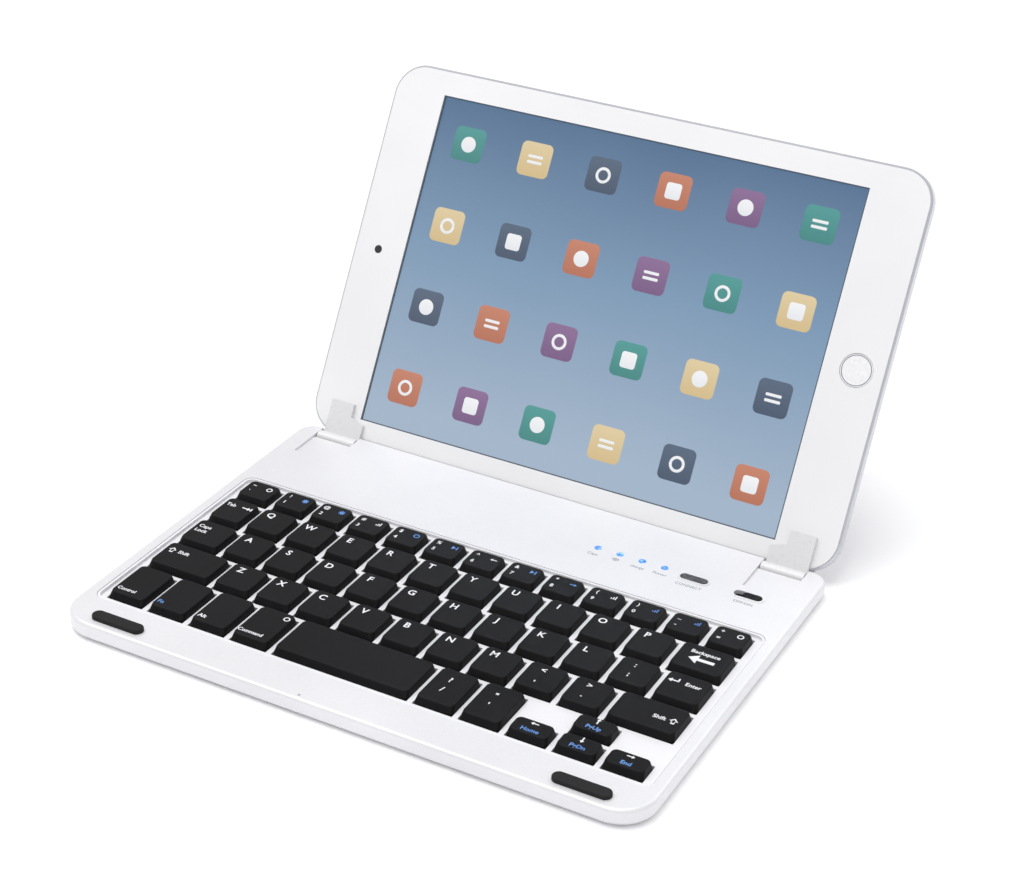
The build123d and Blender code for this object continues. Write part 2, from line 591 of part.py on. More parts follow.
with BuildPart() as scissor_links:
    mid_z = (KEY_ROOF_Z + SWITCH_Z) / 2
    rise = (KEY_ROOF_Z - SWITCH_Z) / 2 - LINK_THICKNESS
    for _, x, y, _, depth in full_cells:
        length = min(depth, LETTER_ROW_DEPTH) - KEY_GAP_Y - 2 * KEY_WALL - 2 * LINK_INSET
        tilt = degrees(asin(2 * rise / length))
        inner_width = LINK_WIDTH - 2 * (LINK_BAR + LINK_GAP)
        for width, turn in ((LINK_WIDTH, tilt), (inner_width, -tilt)):
            with BuildSketch(Plane(origin=(x, y, mid_z)).rotated((turn, 0, 0))):
                Rectangle(width, length)
                Rectangle(width - 2 * LINK_BAR, length - 2 * LINK_BAR, mode=Mode.SUBTRACT)
            extrude(amount=LINK_THICKNESS / 2, both=True)
save(scissor_links.part, "scissor_links")

for node, group in key_groups.items():
    with BuildPart() as caps:
        for _, x, y, width, depth in group:
            skirt_width = width - KEY_GAP_X
            skirt_depth = depth - KEY_GAP_Y
            top_width = skirt_width - 2 * KEY_SIDE_TAPER
            top_depth = skirt_depth - KEY_FRONT_TAPER - KEY_REAR_TAPER
            top_y = y + (KEY_FRONT_TAPER - KEY_REAR_TAPER) / 2
            with BuildSketch(Plane(origin=(x, y, SKIRT_Z))):
                RectangleRounded(skirt_width, skirt_depth, KEY_CORNER)
            extrude(amount=BED_Z + KEY_SKIRT_RISE - SKIRT_Z)
            with BuildSketch(Plane(origin=(x, y, BED_Z + KEY_SKIRT_RISE))):
                RectangleRounded(skirt_width, skirt_depth, KEY_CORNER)
            with BuildSketch(Plane(origin=(x, top_y, KEY_TOP_Z))):
                RectangleRounded(top_width, top_depth, KEY_CORNER)
            loft()
        fillet(caps.faces().group_by(Axis.Z)[-1].edges(), KEY_TOP_ROUND)
        for _, x, y, width, depth in group:
            with BuildSketch(Plane(origin=(x, y, SKIRT_Z))):
                Rectangle(width - KEY_GAP_X - 2 * KEY_WALL, depth - KEY_GAP_Y - 2 * KEY_WALL)
            extrude(amount=KEY_ROOF_Z - SKIRT_Z, mode=Mode.SUBTRACT)
    save(caps.part, node)


# ---- Electronics and controls ----
with BuildPart() as circuit_board:
    with BuildSketch(Plane.XY.offset(BOARD_Z)):
        with Locations((BOARD_X, BOARD_Y)):
            Rectangle(BOARD_LENGTH, BOARD_DEPTH)
    extrude(amount=BOARD_THICKNESS)
    # The radio module, the controller and one light emitter under each light pipe.
    with BuildSketch(Plane.XY.offset(BOARD_TOP_Z)):
        with Locations((BOARD_X, BOARD_Y)):
            with Locations((-BOARD_LENGTH / 4, -BOARD_DEPTH / 4)):
                Rectangle(BOARD_LENGTH / 6, BOARD_DEPTH / 3)
            with Locations((BOARD_LENGTH / 8, -BOARD_DEPTH / 4)):
                Rectangle(BOARD_DEPTH / 4, BOARD_DEPTH / 4)
        with Locations((LIGHT_MID_X, LIGHT_Y)):
            with GridLocations(LIGHT_PITCH, 0, LIGHT_COUNT, 1):
                Rectangle(2 * LIGHT_RADIUS, 2 * LIGHT_RADIUS)
    extrude(amount=CHIP_HEIGHT)
    # Separate small board that carries the charging inlet.
    with BuildSketch(Plane.XY.offset(FLOOR_Z)):
        with Locations((PORT_X - PORT_LENGTH / 2 + SHELL_WALL + 2 * REGISTER_LIP + PORT_BOARD_LENGTH / 2, PORT_Y)):
            Rectangle(PORT_BOARD_LENGTH, PORT_BOARD_DEPTH)
    extrude(amount=PORT_BOARD_THICKNESS)
save(circuit_board.part, "circuit_board")

with BuildPart() as charging_inlet:
    with Locations((PORT_X, PORT_Y, PORT_Z)):
        Box(PORT_LENGTH, PORT_WIDTH, PORT_HEIGHT)
    fillet(charging_inlet.edges().filter_by(Axis.X), PORT_SHELL)
    with Locations((PORT_X - PORT_SHELL, PORT_Y, PORT_Z)):
        Box(PORT_LENGTH, PORT_WIDTH - 2 * PORT_SHELL, PORT_HEIGHT - 2 * PORT_SHELL, mode=Mode.SUBTRACT)
    with Locations((PORT_X + PORT_SHELL, PORT_Y, PORT_Z)):
        Box(PORT_LENGTH - 2 * PORT_SHELL, PORT_WIDTH / 2, PORT_SHELL)
save(charging_inlet.part, "charging_inlet")

with BuildPart() as battery:
    with Locations((CELL_X, BOARD_Y, FLOOR_Z + CELL_THICKNESS / 2)):
        Box(CELL_LENGTH, CELL_DEPTH, CELL_THICKNESS)
    fillet(battery.edges().filter_by(Axis.Z), CELL_THICKNESS / 3)
save(battery.part, "battery")

with BuildPart() as light_pipes:
    with BuildSketch(Plane.XY.offset(BOARD_TOP_Z + CHIP_HEIGHT)):
        with Locations((LIGHT_MID_X, LIGHT_Y)):
            with GridLocations(LIGHT_PITCH, 0, LIGHT_COUNT, 1):
                Circle(LIGHT_RADIUS)
    extrude(amount=DECK_Z - BOARD_TOP_Z - CHIP_HEIGHT)
save(light_pipes.part, "light_pipes")

with BuildPart() as switch_bodies:
    with BuildSketch(Plane.XY.offset(BOARD_TOP_Z)):
        with Locations((CONNECT_X, CONNECT_Y), (SWITCH_X, SWITCH_Y)):
            RectangleRounded(CONTROL_LENGTH - CONTROL_WIDTH, CONTROL_WIDTH, CONTROL_CLEARANCE)
    extrude(amount=SWITCH_BODY_HEIGHT)
save(switch_bodies.part, "switch_bodies")

control_flange_z = ROOF_Z - SHELL_CLEARANCE - CONTROL_FLANGE_THICKNESS
with BuildPart() as connect_button:
    with BuildSketch(Plane.XY.offset(control_flange_z)):
        with Locations((CONNECT_X, CONNECT_Y)):
            SlotOverall(CONTROL_LENGTH + CONTROL_FLANGE, CONTROL_WIDTH + CONTROL_FLANGE)
    extrude(amount=CONTROL_FLANGE_THICKNESS)
    with BuildSketch(Plane.XY.offset(control_flange_z)):
        with Locations((CONNECT_X, CONNECT_Y)):
            SlotOverall(CONTROL_LENGTH - 2 * CONTROL_CLEARANCE, CONTROL_WIDTH - 2 * CONTROL_CLEARANCE)
    extrude(amount=DECK_Z + BUTTON_PROUD - control_flange_z)
    fillet(connect_button.faces().group_by(Axis.Z)[-1].edges(), CONTROL_CLEARANCE)
save(connect_button.part, "connect_button")

with BuildPart() as power_switch_knob:
    knob_x = SWITCH_X + KNOB_TRAVEL / 2
    with BuildSketch(Plane.XY.offset(control_flange_z)):
        with Locations((knob_x, SWITCH_Y)):
            SlotOverall(SHUTTER_LENGTH, CONTROL_WIDTH + CONTROL_FLANGE)
    extrude(amount=CONTROL_FLANGE_THICKNESS)
    with BuildSketch(Plane.XY.offset(control_flange_z)):
        with Locations((knob_x, SWITCH_Y)):
            SlotOverall(KNOB_LENGTH, CONTROL_WIDTH - 2 * CONTROL_CLEARANCE)
    extrude(amount=DECK_Z + KNOB_PROUD - control_flange_z)
    fillet(power_switch_knob.faces().group_by(Axis.Z)[-1].edges(), CONTROL_CLEARANCE)
save(power_switch_knob.part, "power_switch_knob")

# ---- Hinges and clips ----
with BuildPart() as hinge_brackets:
    ear_low = FLOOR_Z + BOSS_FLOOR_GAP
    span = 2 * EAR_X + EAR_THICKNESS
    for side in (-1, 1):
        with BuildSketch(Plane.XY.offset(ear_low)):
            with Locations((side * CLIP_X, HINGE_Y - BRACKET_REACH + BRACKET_BAR / 2)):
                Rectangle(span, BRACKET_BAR)
            for end in (-1, 1):
                with Locations((side * CLIP_X + end * EAR_X, HINGE_Y - (BRACKET_REACH - EAR_REAR) / 2)):
                    Rectangle(EAR_THICKNESS, BRACKET_REACH + EAR_REAR)
        extrude(amount=FLANGE_TOP_Z - ear_low)
        for end in (-1, 1):
            with BuildSketch(side_plane(side * CLIP_X + end * EAR_X)):
                Circle(LUG_RADIUS)
            extrude(amount=EAR_THICKNESS / 2, both=True)
        with BuildSketch(side_plane(side * CLIP_X)):
            Circle(PIN_RADIUS + PIN_SEAT)
        extrude(amount=span, both=True, mode=Mode.SUBTRACT)
save(hinge_brackets.part, "hinge_brackets")

with BuildPart() as hinge_pins:
    for side in (-1, 1):
        with BuildSketch(side_plane(side * CLIP_X)):
            Circle(PIN_RADIUS)
        extrude(amount=EAR_X + EAR_THICKNESS / 2, both=True)
save(hinge_pins.part, "hinge_pins")

SLOT_FLOOR = TABLET_EDGE_RISE - CLIP_FIT
JAW_FRONT = CLIP_FIT - GLASS_OFFSET
JAW_BACK = -(BACK_DEPTH + CLIP_FIT + PAD_THICKNESS)
for side, name in ((-1, "left"), (1, "right")):
    with BuildPart() as clip:
        # Side profile: X runs up the lid, Y out of the glass.
        with BuildSketch(side_plane(side * CLIP_X)):
            low = SLOT_FLOOR - CLIP_WALL
            high = TABLET_EDGE_RISE + CLIP_BACK_REACH
            with Locations((low, JAW_BACK - CLIP_BACK)):
                outer = Rectangle(high - low, JAW_FRONT + CLIP_LIP - JAW_BACK + CLIP_BACK, align=(Align.MIN, Align.MIN))
            fillet(outer.vertices().group_by(Axis.X)[0].sort_by(Axis.Y)[0], CLIP_OUTER_ROUND)
        extrude(amount=CLIP_WIDTH / 2, both=True)
        with BuildSketch(side_plane(side * CLIP_X)):
            with Locations((SLOT_FLOOR, JAW_BACK)):
                inner = Rectangle(high, JAW_FRONT - JAW_BACK, align=(Align.MIN, Align.MIN))
            fillet(inner.vertices().group_by(Axis.X)[0].sort_by(Axis.Y)[0], CLIP_INNER_ROUND)
        extrude(amount=CLIP_WIDTH, both=True, mode=Mode.SUBTRACT)
        # The lip in front of the glass is narrow at its top and steps out towards the middle.
        lip_top = TABLET_EDGE_RISE + CLIP_LIP_REACH
        with BuildSketch(lid_plane(GLASS_OFFSET)):
            with Locations((side * CLIP_X, lip_top)):
                Rectangle(2 * CLIP_WIDTH, high, align=(Align.CENTER, Align.MIN))
            inner_edge = side * (CLIP_X - CLIP_WIDTH / 2)
            step_edge = inner_edge + side * (CLIP_WIDTH - CLIP_TOP_WIDTH)
            step_low = TABLET_EDGE_RISE + CLIP_STEP_HEIGHT
            with BuildLine():
                Polyline(
                    (inner_edge - side, step_low), (inner_edge, step_low),
                    (step_edge, step_low + CLIP_LIP_ROUND), (step_edge, lip_top + 1),
                    (inner_edge - side, lip_top + 1), close=True)
            make_face()
        extrude(amount=CLIP_LIP + CLIP_FIT, mode=Mode.SUBTRACT)
        with BuildSketch(side_plane(side * CLIP_X)):
            with Locations((-WEB_LOW, -WEB_DEPTH)):
                Rectangle(WEB_LOW + WEB_HIGH, WEB_DEPTH, align=(Align.MIN, Align.MIN))
        extrude(amount=CLIP_WIDTH / 2, both=True)
        with BuildSketch(side_plane(side * CLIP_X)):
            Circle(BARREL_RADIUS)
        extrude(amount=BARREL_LENGTH / 2, both=True)
        with BuildSketch(side_plane(side * CLIP_X)):
            Circle(PIN_RADIUS + PIN_RUNNING)
        extrude(amount=BARREL_LENGTH, both=True, mode=Mode.SUBTRACT)
    save(clip.part, f"{name}_clip")

    with BuildPart() as clip_pad:
        pad_low = SLOT_FLOOR + CLIP_INNER_ROUND
        pad_high = TABLET_EDGE_RISE + CLIP_BACK_REACH - PAD_MARGIN
        with BuildSketch(lid_plane(-JAW_BACK)):
            with Locations((side * CLIP_X, (pad_low + pad_high) / 2)):
                RectangleRounded(CLIP_WIDTH - 2 * PAD_MARGIN, pad_high - pad_low, PAD_MARGIN)
        extrude(amount=PAD_THICKNESS)
    save(clip_pad.part, f"{name}_clip_pad")


# ---- Tablet ----
def lid_rectangle(length, height, corner):
    """Sketch a rounded rectangle centred on the tablet's face."""
    with Locations((0, LID_MID_RISE)):
        RectangleRounded(length, height, corner)


HOME_X = TABLET_LENGTH / 2 - HOME_INSET
CAMERA_X = -TABLET_LENGTH / 2 + CAMERA_INSET
with BuildPart() as tablet_housing:
    front_depth = GLASS_OFFSET + TABLET_RIM_DROP
    with BuildSketch(lid_plane(BACK_DEPTH)):
        lid_rectangle(TABLET_LENGTH, TABLET_HEIGHT, TABLET_CORNER)
    extrude(amount=BACK_DEPTH - front_depth)
    back_face = tablet_housing.faces().filter_by(Axis(LID_PLANE.origin, LID_OUT)).sort_by(Axis(LID_PLANE.origin, LID_OUT))
    front_face = back_face[-1]
    fillet(back_face[0].edges(), TABLET_BACK_ROUND)
    chamfer(front_face.edges(), TABLET_RIM_CHAMFER)
    with BuildSketch(lid_plane(GLASS_OFFSET + GLASS_THICKNESS)):
        lid_rectangle(
            TABLET_LENGTH - 2 * TABLET_RIM, TABLET_HEIGHT - 2 * TABLET_RIM, TABLET_CORNER - TABLET_RIM)
    extrude(amount=GLASS_THICKNESS, mode=Mode.SUBTRACT)
    with BuildSketch(lid_plane(BACK_DEPTH - TABLET_BACK_WALL)):
        lid_rectangle(
            TABLET_LENGTH - 2 * TABLET_SIDE_WALL, TABLET_HEIGHT - 2 * TABLET_SIDE_WALL,
            TABLET_CORNER - TABLET_SIDE_WALL)
    extrude(amount=TABLET_THICKNESS, mode=Mode.SUBTRACT)
save(tablet_housing.part, "tablet_housing")

with BuildPart() as tablet_glass:
    with BuildSketch(lid_plane(GLASS_OFFSET + GLASS_THICKNESS)):
        glass_rim = TABLET_RIM + CLIP_FIT / 2
        lid_rectangle(TABLET_LENGTH - 2 * glass_rim, TABLET_HEIGHT - 2 * glass_rim, TABLET_CORNER - glass_rim)
        with Locations((HOME_X, LID_MID_RISE)):
            Circle(HOME_RADIUS + TRIM_CLEARANCE, mode=Mode.SUBTRACT)
        with Locations((CAMERA_X, LID_MID_RISE)):
            Circle(CAMERA_RADIUS + TRIM_CLEARANCE / 2, mode=Mode.SUBTRACT)
    extrude(amount=GLASS_THICKNESS)
save(tablet_glass.part, "tablet_glass")

with BuildPart() as tablet_display:
    with BuildSketch(lid_plane(GLASS_OFFSET + GLASS_THICKNESS + DISPLAY_GAP + DISPLAY_THICKNESS)):
        lid_rectangle(DISPLAY_LENGTH, DISPLAY_HEIGHT, TABLET_RIM)
    extrude(amount=DISPLAY_THICKNESS)
save(tablet_display.part, "tablet_display")

with BuildPart() as tablet_home_button:
    with BuildSketch(lid_plane(GLASS_OFFSET + HOME_RECESS + HOME_THICKNESS)):
        with Locations((HOME_X, LID_MID_RISE)):
            Circle(HOME_RADIUS)
    extrude(amount=HOME_THICKNESS)
save(tablet_home_button.part, "tablet_home_button")

with BuildPart() as tablet_camera:
    with BuildSketch(lid_plane(GLASS_OFFSET + TRIM_CLEARANCE / 2 + CAMERA_LENGTH)):
        with Locations((CAMERA_X, LID_MID_RISE)):
            Circle(CAMERA_RADIUS)
    extrude(amount=CAMERA_LENGTH)
save(tablet_camera.part, "tablet_camera")

with BuildPart() as tablet_battery:
    with BuildSketch(lid_plane(BACK_DEPTH - TABLET_BACK_WALL)):
        lid_rectangle(TABLET_CELL_LENGTH, TABLET_CELL_HEIGHT, TABLET_RIM)
    extrude(amount=TABLET_CELL_THICKNESS)
save(tablet_battery.part, "tablet_battery")
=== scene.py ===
"""Looks of the clamshell keyboard case: finishes, printed legends, lit screen and studio.

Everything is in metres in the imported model's frame: feet on Z = 0, +X to the typist's right,
+Y to the rear. Sizes named with _MM are in millimetres and are multiplied by MM where used.
"""

import json
import logging
import math
from dataclasses import dataclass, field
from enum import Enum
from typing import Any

import bpy
import numpy as np
from mathutils import Matrix, Vector


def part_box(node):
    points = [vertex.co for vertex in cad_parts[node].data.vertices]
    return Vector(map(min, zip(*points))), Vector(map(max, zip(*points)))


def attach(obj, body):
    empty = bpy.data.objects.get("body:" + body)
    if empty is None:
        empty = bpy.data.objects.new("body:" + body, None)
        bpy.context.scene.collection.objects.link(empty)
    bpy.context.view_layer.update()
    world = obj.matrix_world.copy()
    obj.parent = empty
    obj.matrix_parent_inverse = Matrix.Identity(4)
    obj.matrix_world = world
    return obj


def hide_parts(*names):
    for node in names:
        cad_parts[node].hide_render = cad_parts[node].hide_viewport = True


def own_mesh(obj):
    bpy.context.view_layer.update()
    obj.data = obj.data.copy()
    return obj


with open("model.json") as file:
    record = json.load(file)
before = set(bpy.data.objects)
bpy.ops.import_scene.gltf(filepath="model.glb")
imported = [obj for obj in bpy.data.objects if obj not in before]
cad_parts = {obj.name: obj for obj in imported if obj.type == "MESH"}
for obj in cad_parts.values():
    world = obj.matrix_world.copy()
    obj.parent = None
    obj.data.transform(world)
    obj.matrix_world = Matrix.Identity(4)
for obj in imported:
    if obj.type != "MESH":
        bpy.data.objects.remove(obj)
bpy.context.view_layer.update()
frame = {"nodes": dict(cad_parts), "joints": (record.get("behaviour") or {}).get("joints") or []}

MM = 0.001
NOISE_MIDDLE = (0.3, 0.7)     # where nearly all of a noise texture's values lie
TWO_NOISES_MIDDLE = (0.7, 1.3)
COAT_ROUGHNESS = 0.12
log = logging.getLogger("keyboard_case")

Faces = list[tuple[int, ...]]


# ---------------------------------------------------------------- colour and nodes
def linear(code: str) -> tuple[float, float, float, float]:
    """Turn an sRGB hex colour into linear light.

    Args:
        code: colour as "#rrggbb".

    Returns:
        Linear red, green and blue, and full opacity.
    """
    parts = [int(code[i:i + 2], 16) / 255 for i in (1, 3, 5)]
    made = [p / 12.92 if p <= 0.04045 else ((p + 0.055) / 1.055) ** 2.4 for p in parts]
    return made[0], made[1], made[2], 1.0


def add_node(tree: bpy.types.NodeTree, kind: str, sockets: dict[Any, Any] | None = None,
             **settings: Any) -> bpy.types.Node:
    """Add one node with its settings, values and links.

    Args:
        tree: node tree that the node goes into.
        kind: Blender's name of the node's type.
        sockets: input name or number to a value, or to the output socket that feeds it.
        settings: attributes of the node.

    Returns:
        The new node.
    """
    node = tree.nodes.new(kind)
    for name, value in settings.items():
        setattr(node, name, value)
    for name, value in (sockets or {}).items():
        if isinstance(value, bpy.types.NodeSocket):
            tree.links.new(value, node.inputs[name])
        else:
            node.inputs[name].default_value = value
    return node


def blank_material(name: str) -> tuple[bpy.types.Material, bpy.types.NodeTree]:
    """Make a material whose tree holds nothing yet.

    Args:
        name: the material's name.

    Returns:
        The material and its node tree.
    """
    material = bpy.data.materials.new(name)
    material.use_nodes = True
    material.node_tree.nodes.clear()
    return material, material.node_tree


def ramp(tree: bpy.types.NodeTree, factor: bpy.types.NodeSocket,
         stops: list[tuple[float, str]]) -> bpy.types.NodeSocket:
    """Colour a factor through a row of sRGB stops.

    Args:
        tree: node tree to add to.
        factor: socket that gives the place along the ramp.
        stops: place and hex colour of each stop, in rising order.

    Returns:
        The ramp's colour socket.
    """
    node = add_node(tree, "ShaderNodeValToRGB", {"Fac": factor})
    elements = node.color_ramp.elements
    while len(elements) < len(stops):
        elements.new(0.5)
    for element, (place, code) in zip(elements, stops):
        element.position = place
        element.color = linear(code)
    return node.outputs["Color"]


class Grain(Enum):
    """How the surface was made, which sets the proportions of its finest pattern."""

    MOULDED = (1.0, 1.0, 1.0)
    BLASTED = (1.0, 1.0, 1.0)
    BRUSHED = (0.04, 1.0, 1.0)


@dataclass(frozen=True)
class Finish:
    """One real material and the way its surface was made."""

    name: str
    light: str
    dark: str
    roughness: tuple[float, float]
    grain_mm: float
    bump_mm: float
    metallic: float = 0.0
    specular: float = 0.5
    coat: float = 0.0
    glow: float = 0.0
    drift_mm: float = 45.0
    grain: Grain = Grain.MOULDED

    def build(self) -> bpy.types.Material:
        """Make the material.

        Returns:
            A material whose colour drifts slowly between dark and light, whose roughness and
            relief follow a fine grain of grain_mm.
        """
        material, tree = blank_material(self.name)
        place = add_node(tree, "ShaderNodeTexCoord").outputs["Object"]
        per_grain = 1 / (self.grain_mm * MM)
        fine_place = add_node(tree, "ShaderNodeMapping", {
            "Vector": place, "Scale": [share * per_grain for share in self.grain.value]})
        fine = add_node(tree, "ShaderNodeTexNoise", {
            "Vector": fine_place.outputs[0], "Scale": 1.0, "Detail": 2.0}).outputs[0]
        slow = add_node(tree, "ShaderNodeTexNoise", {
            "Vector": place, "Scale": 1 / (self.drift_mm * MM), "Detail": 3.0}).outputs[0]
        both = add_node(tree, "ShaderNodeMath", {0: fine, 1: slow}, operation="ADD").outputs[0]
        tone = add_node(tree, "ShaderNodeMapRange", {
            "Value": both, "From Min": TWO_NOISES_MIDDLE[0],
            "From Max": TWO_NOISES_MIDDLE[1]}).outputs[0]
        colour = ramp(tree, tone, [(0.0, self.dark), (1.0, self.light)])
        rough = add_node(tree, "ShaderNodeMapRange", {
            "Value": fine, "From Min": NOISE_MIDDLE[0], "From Max": NOISE_MIDDLE[1],
            "To Min": self.roughness[0], "To Max": self.roughness[1]}).outputs[0]
        relief = add_node(tree, "ShaderNodeBump", {
            "Strength": 1.0, "Distance": self.bump_mm * MM, "Height": fine}).outputs[0]
        shader = add_node(tree, "ShaderNodeBsdfPrincipled", {
            "Base Color": colour, "Roughness": rough, "Normal": relief,
            "Metallic": self.metallic, "Specular IOR Level": self.specular,
            "Coat Weight": self.coat, "Coat Roughness": COAT_ROUGHNESS,
            "Emission Color": colour, "Emission Strength": self.glow})
        add_node(tree, "ShaderNodeOutputMaterial", {"Surface": shader.outputs[0]})
        return material


# Bead-blasted and clear-anodised aluminium: a pale satin with soft, wide highlights and the
# finest of grain. The blasting pits are about 0.1 mm; they are drawn at 0.35 mm so they show.
ALUMINIUM = Finish("bead_blasted_aluminium", "#e8e8ea", "#dddddf", (0.36, 0.46), 0.35, 0.002,
                   metallic=0.25, grain=Grain.BLASTED, drift_mm=60)
# The tablet's shell is polished a little finer and reads as silver.
SILVER = Finish("anodised_silver_aluminium", "#d3d4d8", "#c2c3c8", (0.28, 0.36), 0.3, 0.0015,
                metallic=0.6, grain=Grain.BLASTED, drift_mm=60)
# Injection-moulded white ABS: even, bright and slightly waxy, with spark-eroded texture.
WHITE_ABS = Finish("moulded_white_abs", "#ebebed", "#dfdfe2", (0.4, 0.5), 0.4, 0.002)
# Moulded light grey ABS of the clips, polished in the tool, so it catches brighter edges.
GREY_ABS = Finish("polished_grey_abs", "#dededf", "#dbdbdc", (0.27, 0.29), 1.6, 0.0002, coat=0.25)
# Black ABS keycaps with a fine satin texture: very dark, with a soft sheen at the rims.
BLACK_ABS = Finish("satin_black_abs", "#141416", "#0b0b0d", (0.38, 0.5), 0.25, 0.003,
                   specular=0.14)
# Polished black ABS of the round-ended control: deeper and shinier than the keys.
GLOSS_BLACK = Finish("polished_black_abs", "#141416", "#0a0a0b", (0.16, 0.26), 0.6, 0.002,
                     coat=0.4)
# Black thermoplastic rubber of bumpers and feet: matt, with a slight dusty bloom.
BLACK_RUBBER = Finish("black_rubber", "#1b1b1c", "#0e0e0f", (0.55, 0.75), 0.3, 0.01,
                      specular=0.3)
# Translucent grey silicone of pads and domes.
SILICONE = Finish("grey_silicone", "#b9bbbf", "#9fa1a6", (0.45, 0.6), 0.5, 0.006)
# Stamped stainless steel: a grey metal with straight rolling lines about 0.05 mm apart,
# drawn at 0.15 mm so they show.
STEEL = Finish("stamped_stainless_steel", "#c2c3c6", "#9b9ca0", (0.24, 0.38), 0.15, 0.002,
               metallic=1.0, grain=Grain.BRUSHED)
# Zinc-plated steel of screws and pins: brighter and cooler than stainless.
ZINC = Finish("zinc_plated_steel", "#c9ced2", "#a9aeb3", (0.22, 0.34), 0.2, 0.002,
              metallic=1.0, drift_mm=8)
# Polyester film of the switch sheet: pale, a little cloudy.
FILM = Finish("polyester_film", "#c9cfca", "#b4bcb6", (0.25, 0.4), 1.2, 0.004, drift_mm=6)
# Aluminised pouch of the cells: wrinkled dull foil.
POUCH = Finish("aluminised_pouch", "#b8babd", "#8f9195", (0.35, 0.5), 2.2, 0.08, metallic=0.7,
               drift_mm=12)
# Polished white ABS of the home button under clear lacquer.
WHITE_LACQUER = Finish("lacquered_white_abs", "#f3f3f4", "#e7e7e9", (0.2, 0.3), 1.0, 0.002,
                       coat=0.5)
# Coated glass of the camera window: almost black with a violet cast.
LENS = Finish("coated_lens_glass", "#16141c", "#08080b", (0.06, 0.12), 2.0, 0.0005, coat=1.0,
              drift_mm=2)
# Screen-printed white ink: opaque with a faint edge of uneven coverage.
WHITE_INK = Finish("white_screen_ink", "#f4f4f6", "#dcdde2", (0.5, 0.65), 0.3, 0.002,
                   drift_mm=3)
# Screen-printed pale blue ink of the second functions.
BLUE_INK = Finish("blue_screen_ink", "#6f9fe0", "#4a7cc6", (0.5, 0.65), 0.3, 0.002, drift_mm=3)
# Laser-marked grey lettering on the deck.
GREY_INK = Finish("grey_laser_mark", "#7d8086", "#696c72", (0.5, 0.65), 0.3, 0.002, drift_mm=3)


@dataclass(frozen=True)
class SolderMask:
    """Fibreglass board under green solder mask, with copper tracks showing through."""

    name: str = "green_solder_mask"
    track_mm: float = 1.4
    relief_mm: float = 0.02

    def build(self) -> bpy.types.Material:
        """Make the material: square cells of track and mask under a glossy coat."""
        material, tree = blank_material(self.name)
        place = add_node(tree, "ShaderNodeTexCoord").outputs["Object"]
        cells = add_node(tree, "ShaderNodeTexVoronoi", {
            "Vector": place, "Scale": 1 / (self.track_mm * MM)},
            distance="MANHATTAN").outputs["Distance"]
        colour = ramp(tree, cells, [(0.0, "#2f7a4c"), (0.35, "#1f5c38"), (0.6, "#123f26")])
        relief = add_node(tree, "ShaderNodeBump", {
            "Strength": 1.0, "Distance": self.relief_mm * MM, "Height": cells}).outputs[0]
        shader = add_node(tree, "ShaderNodeBsdfPrincipled", {
            "Base Color": colour, "Roughness": 0.35, "Normal": relief, "Coat Weight": 0.5})
        add_node(tree, "ShaderNodeOutputMaterial", {"Surface": shader.outputs[0]})
        return material


@dataclass(frozen=True)
class LampResin:
    """Clear acrylic light pipe lit from below, its blue cloudy with paler patches."""

    name: str = "lit_blue_acrylic"
    strength: float = 1.1
    cloud_mm: float = 1.6

    def build(self) -> bpy.types.Material:
        """Make the material: emission whose blue follows a soft cloud."""
        material, tree = blank_material(self.name)
        place = add_node(tree, "ShaderNodeTexCoord").outputs["Object"]
        cloud = add_node(tree, "ShaderNodeTexNoise", {
            "Vector": place, "Scale": 1 / (self.cloud_mm * MM)}).outputs[0]
        colour = ramp(tree, cloud, [(0.3, "#1746e8"), (0.55, "#3a74ff"), (0.75, "#86b2ff")])
        shader = add_node(tree, "ShaderNodeBsdfPrincipled", {
            "Base Color": colour, "Roughness": 0.2, "Emission Color": colour,
            "Emission Strength": self.strength})
        add_node(tree, "ShaderNodeOutputMaterial", {"Surface": shader.outputs[0]})
        return material


# ---------------------------------------------------------------- frames and shapes
@dataclass(frozen=True)
class Placement:
    """A flat plane in the row frame: where its origin is and which way its axes run."""

    origin: Vector
    right: Vector
    up: Vector
    out: Vector

    def to_row(self, points_mm: np.ndarray) -> np.ndarray:
        """Carry plane points to the row frame: origin + x right + y up + z out.

        Args:
            points_mm: (n, 3) points in the plane's own axes, in millimetres.

        Returns:
            (n, 3) points in metres.
        """
        axes = np.array([self.right, self.up, self.out], float)
        return np.array(self.origin, float) + points_mm * MM @ axes

    def at(self, x: float, y: float, z: float = 0.0) -> "Placement":
        """The same plane with its origin moved by x, y and z millimetres along its own axes."""
        moved = self.origin + (self.right * x + self.up * y + self.out * z) * MM
        return Placement(moved, self.right, self.up, self.out)


@dataclass
class Shape:
    """Points in a plane's own axes, in millimetres, with faces that point outwards."""

    points: np.ndarray
    faces: Faces

    def moved(self, x: float, y: float, turn: float = 0.0, z: float = 0.0) -> "Shape":
        """Turn the shape in its plane by turn degrees, then move it.

        Args:
            x: move along the plane's right.
            y: move along the plane's up.
            turn: anticlockwise angle in degrees.
            z: move out of the plane.

        Returns:
            The moved shape.
        """
        c, s = math.cos(math.radians(turn)), math.sin(math.radians(turn))
        spin = np.array([[c, s, 0], [-s, c, 0], [0, 0, 1]])
        return Shape(self.points @ spin + np.array([x, y, z]), self.faces)


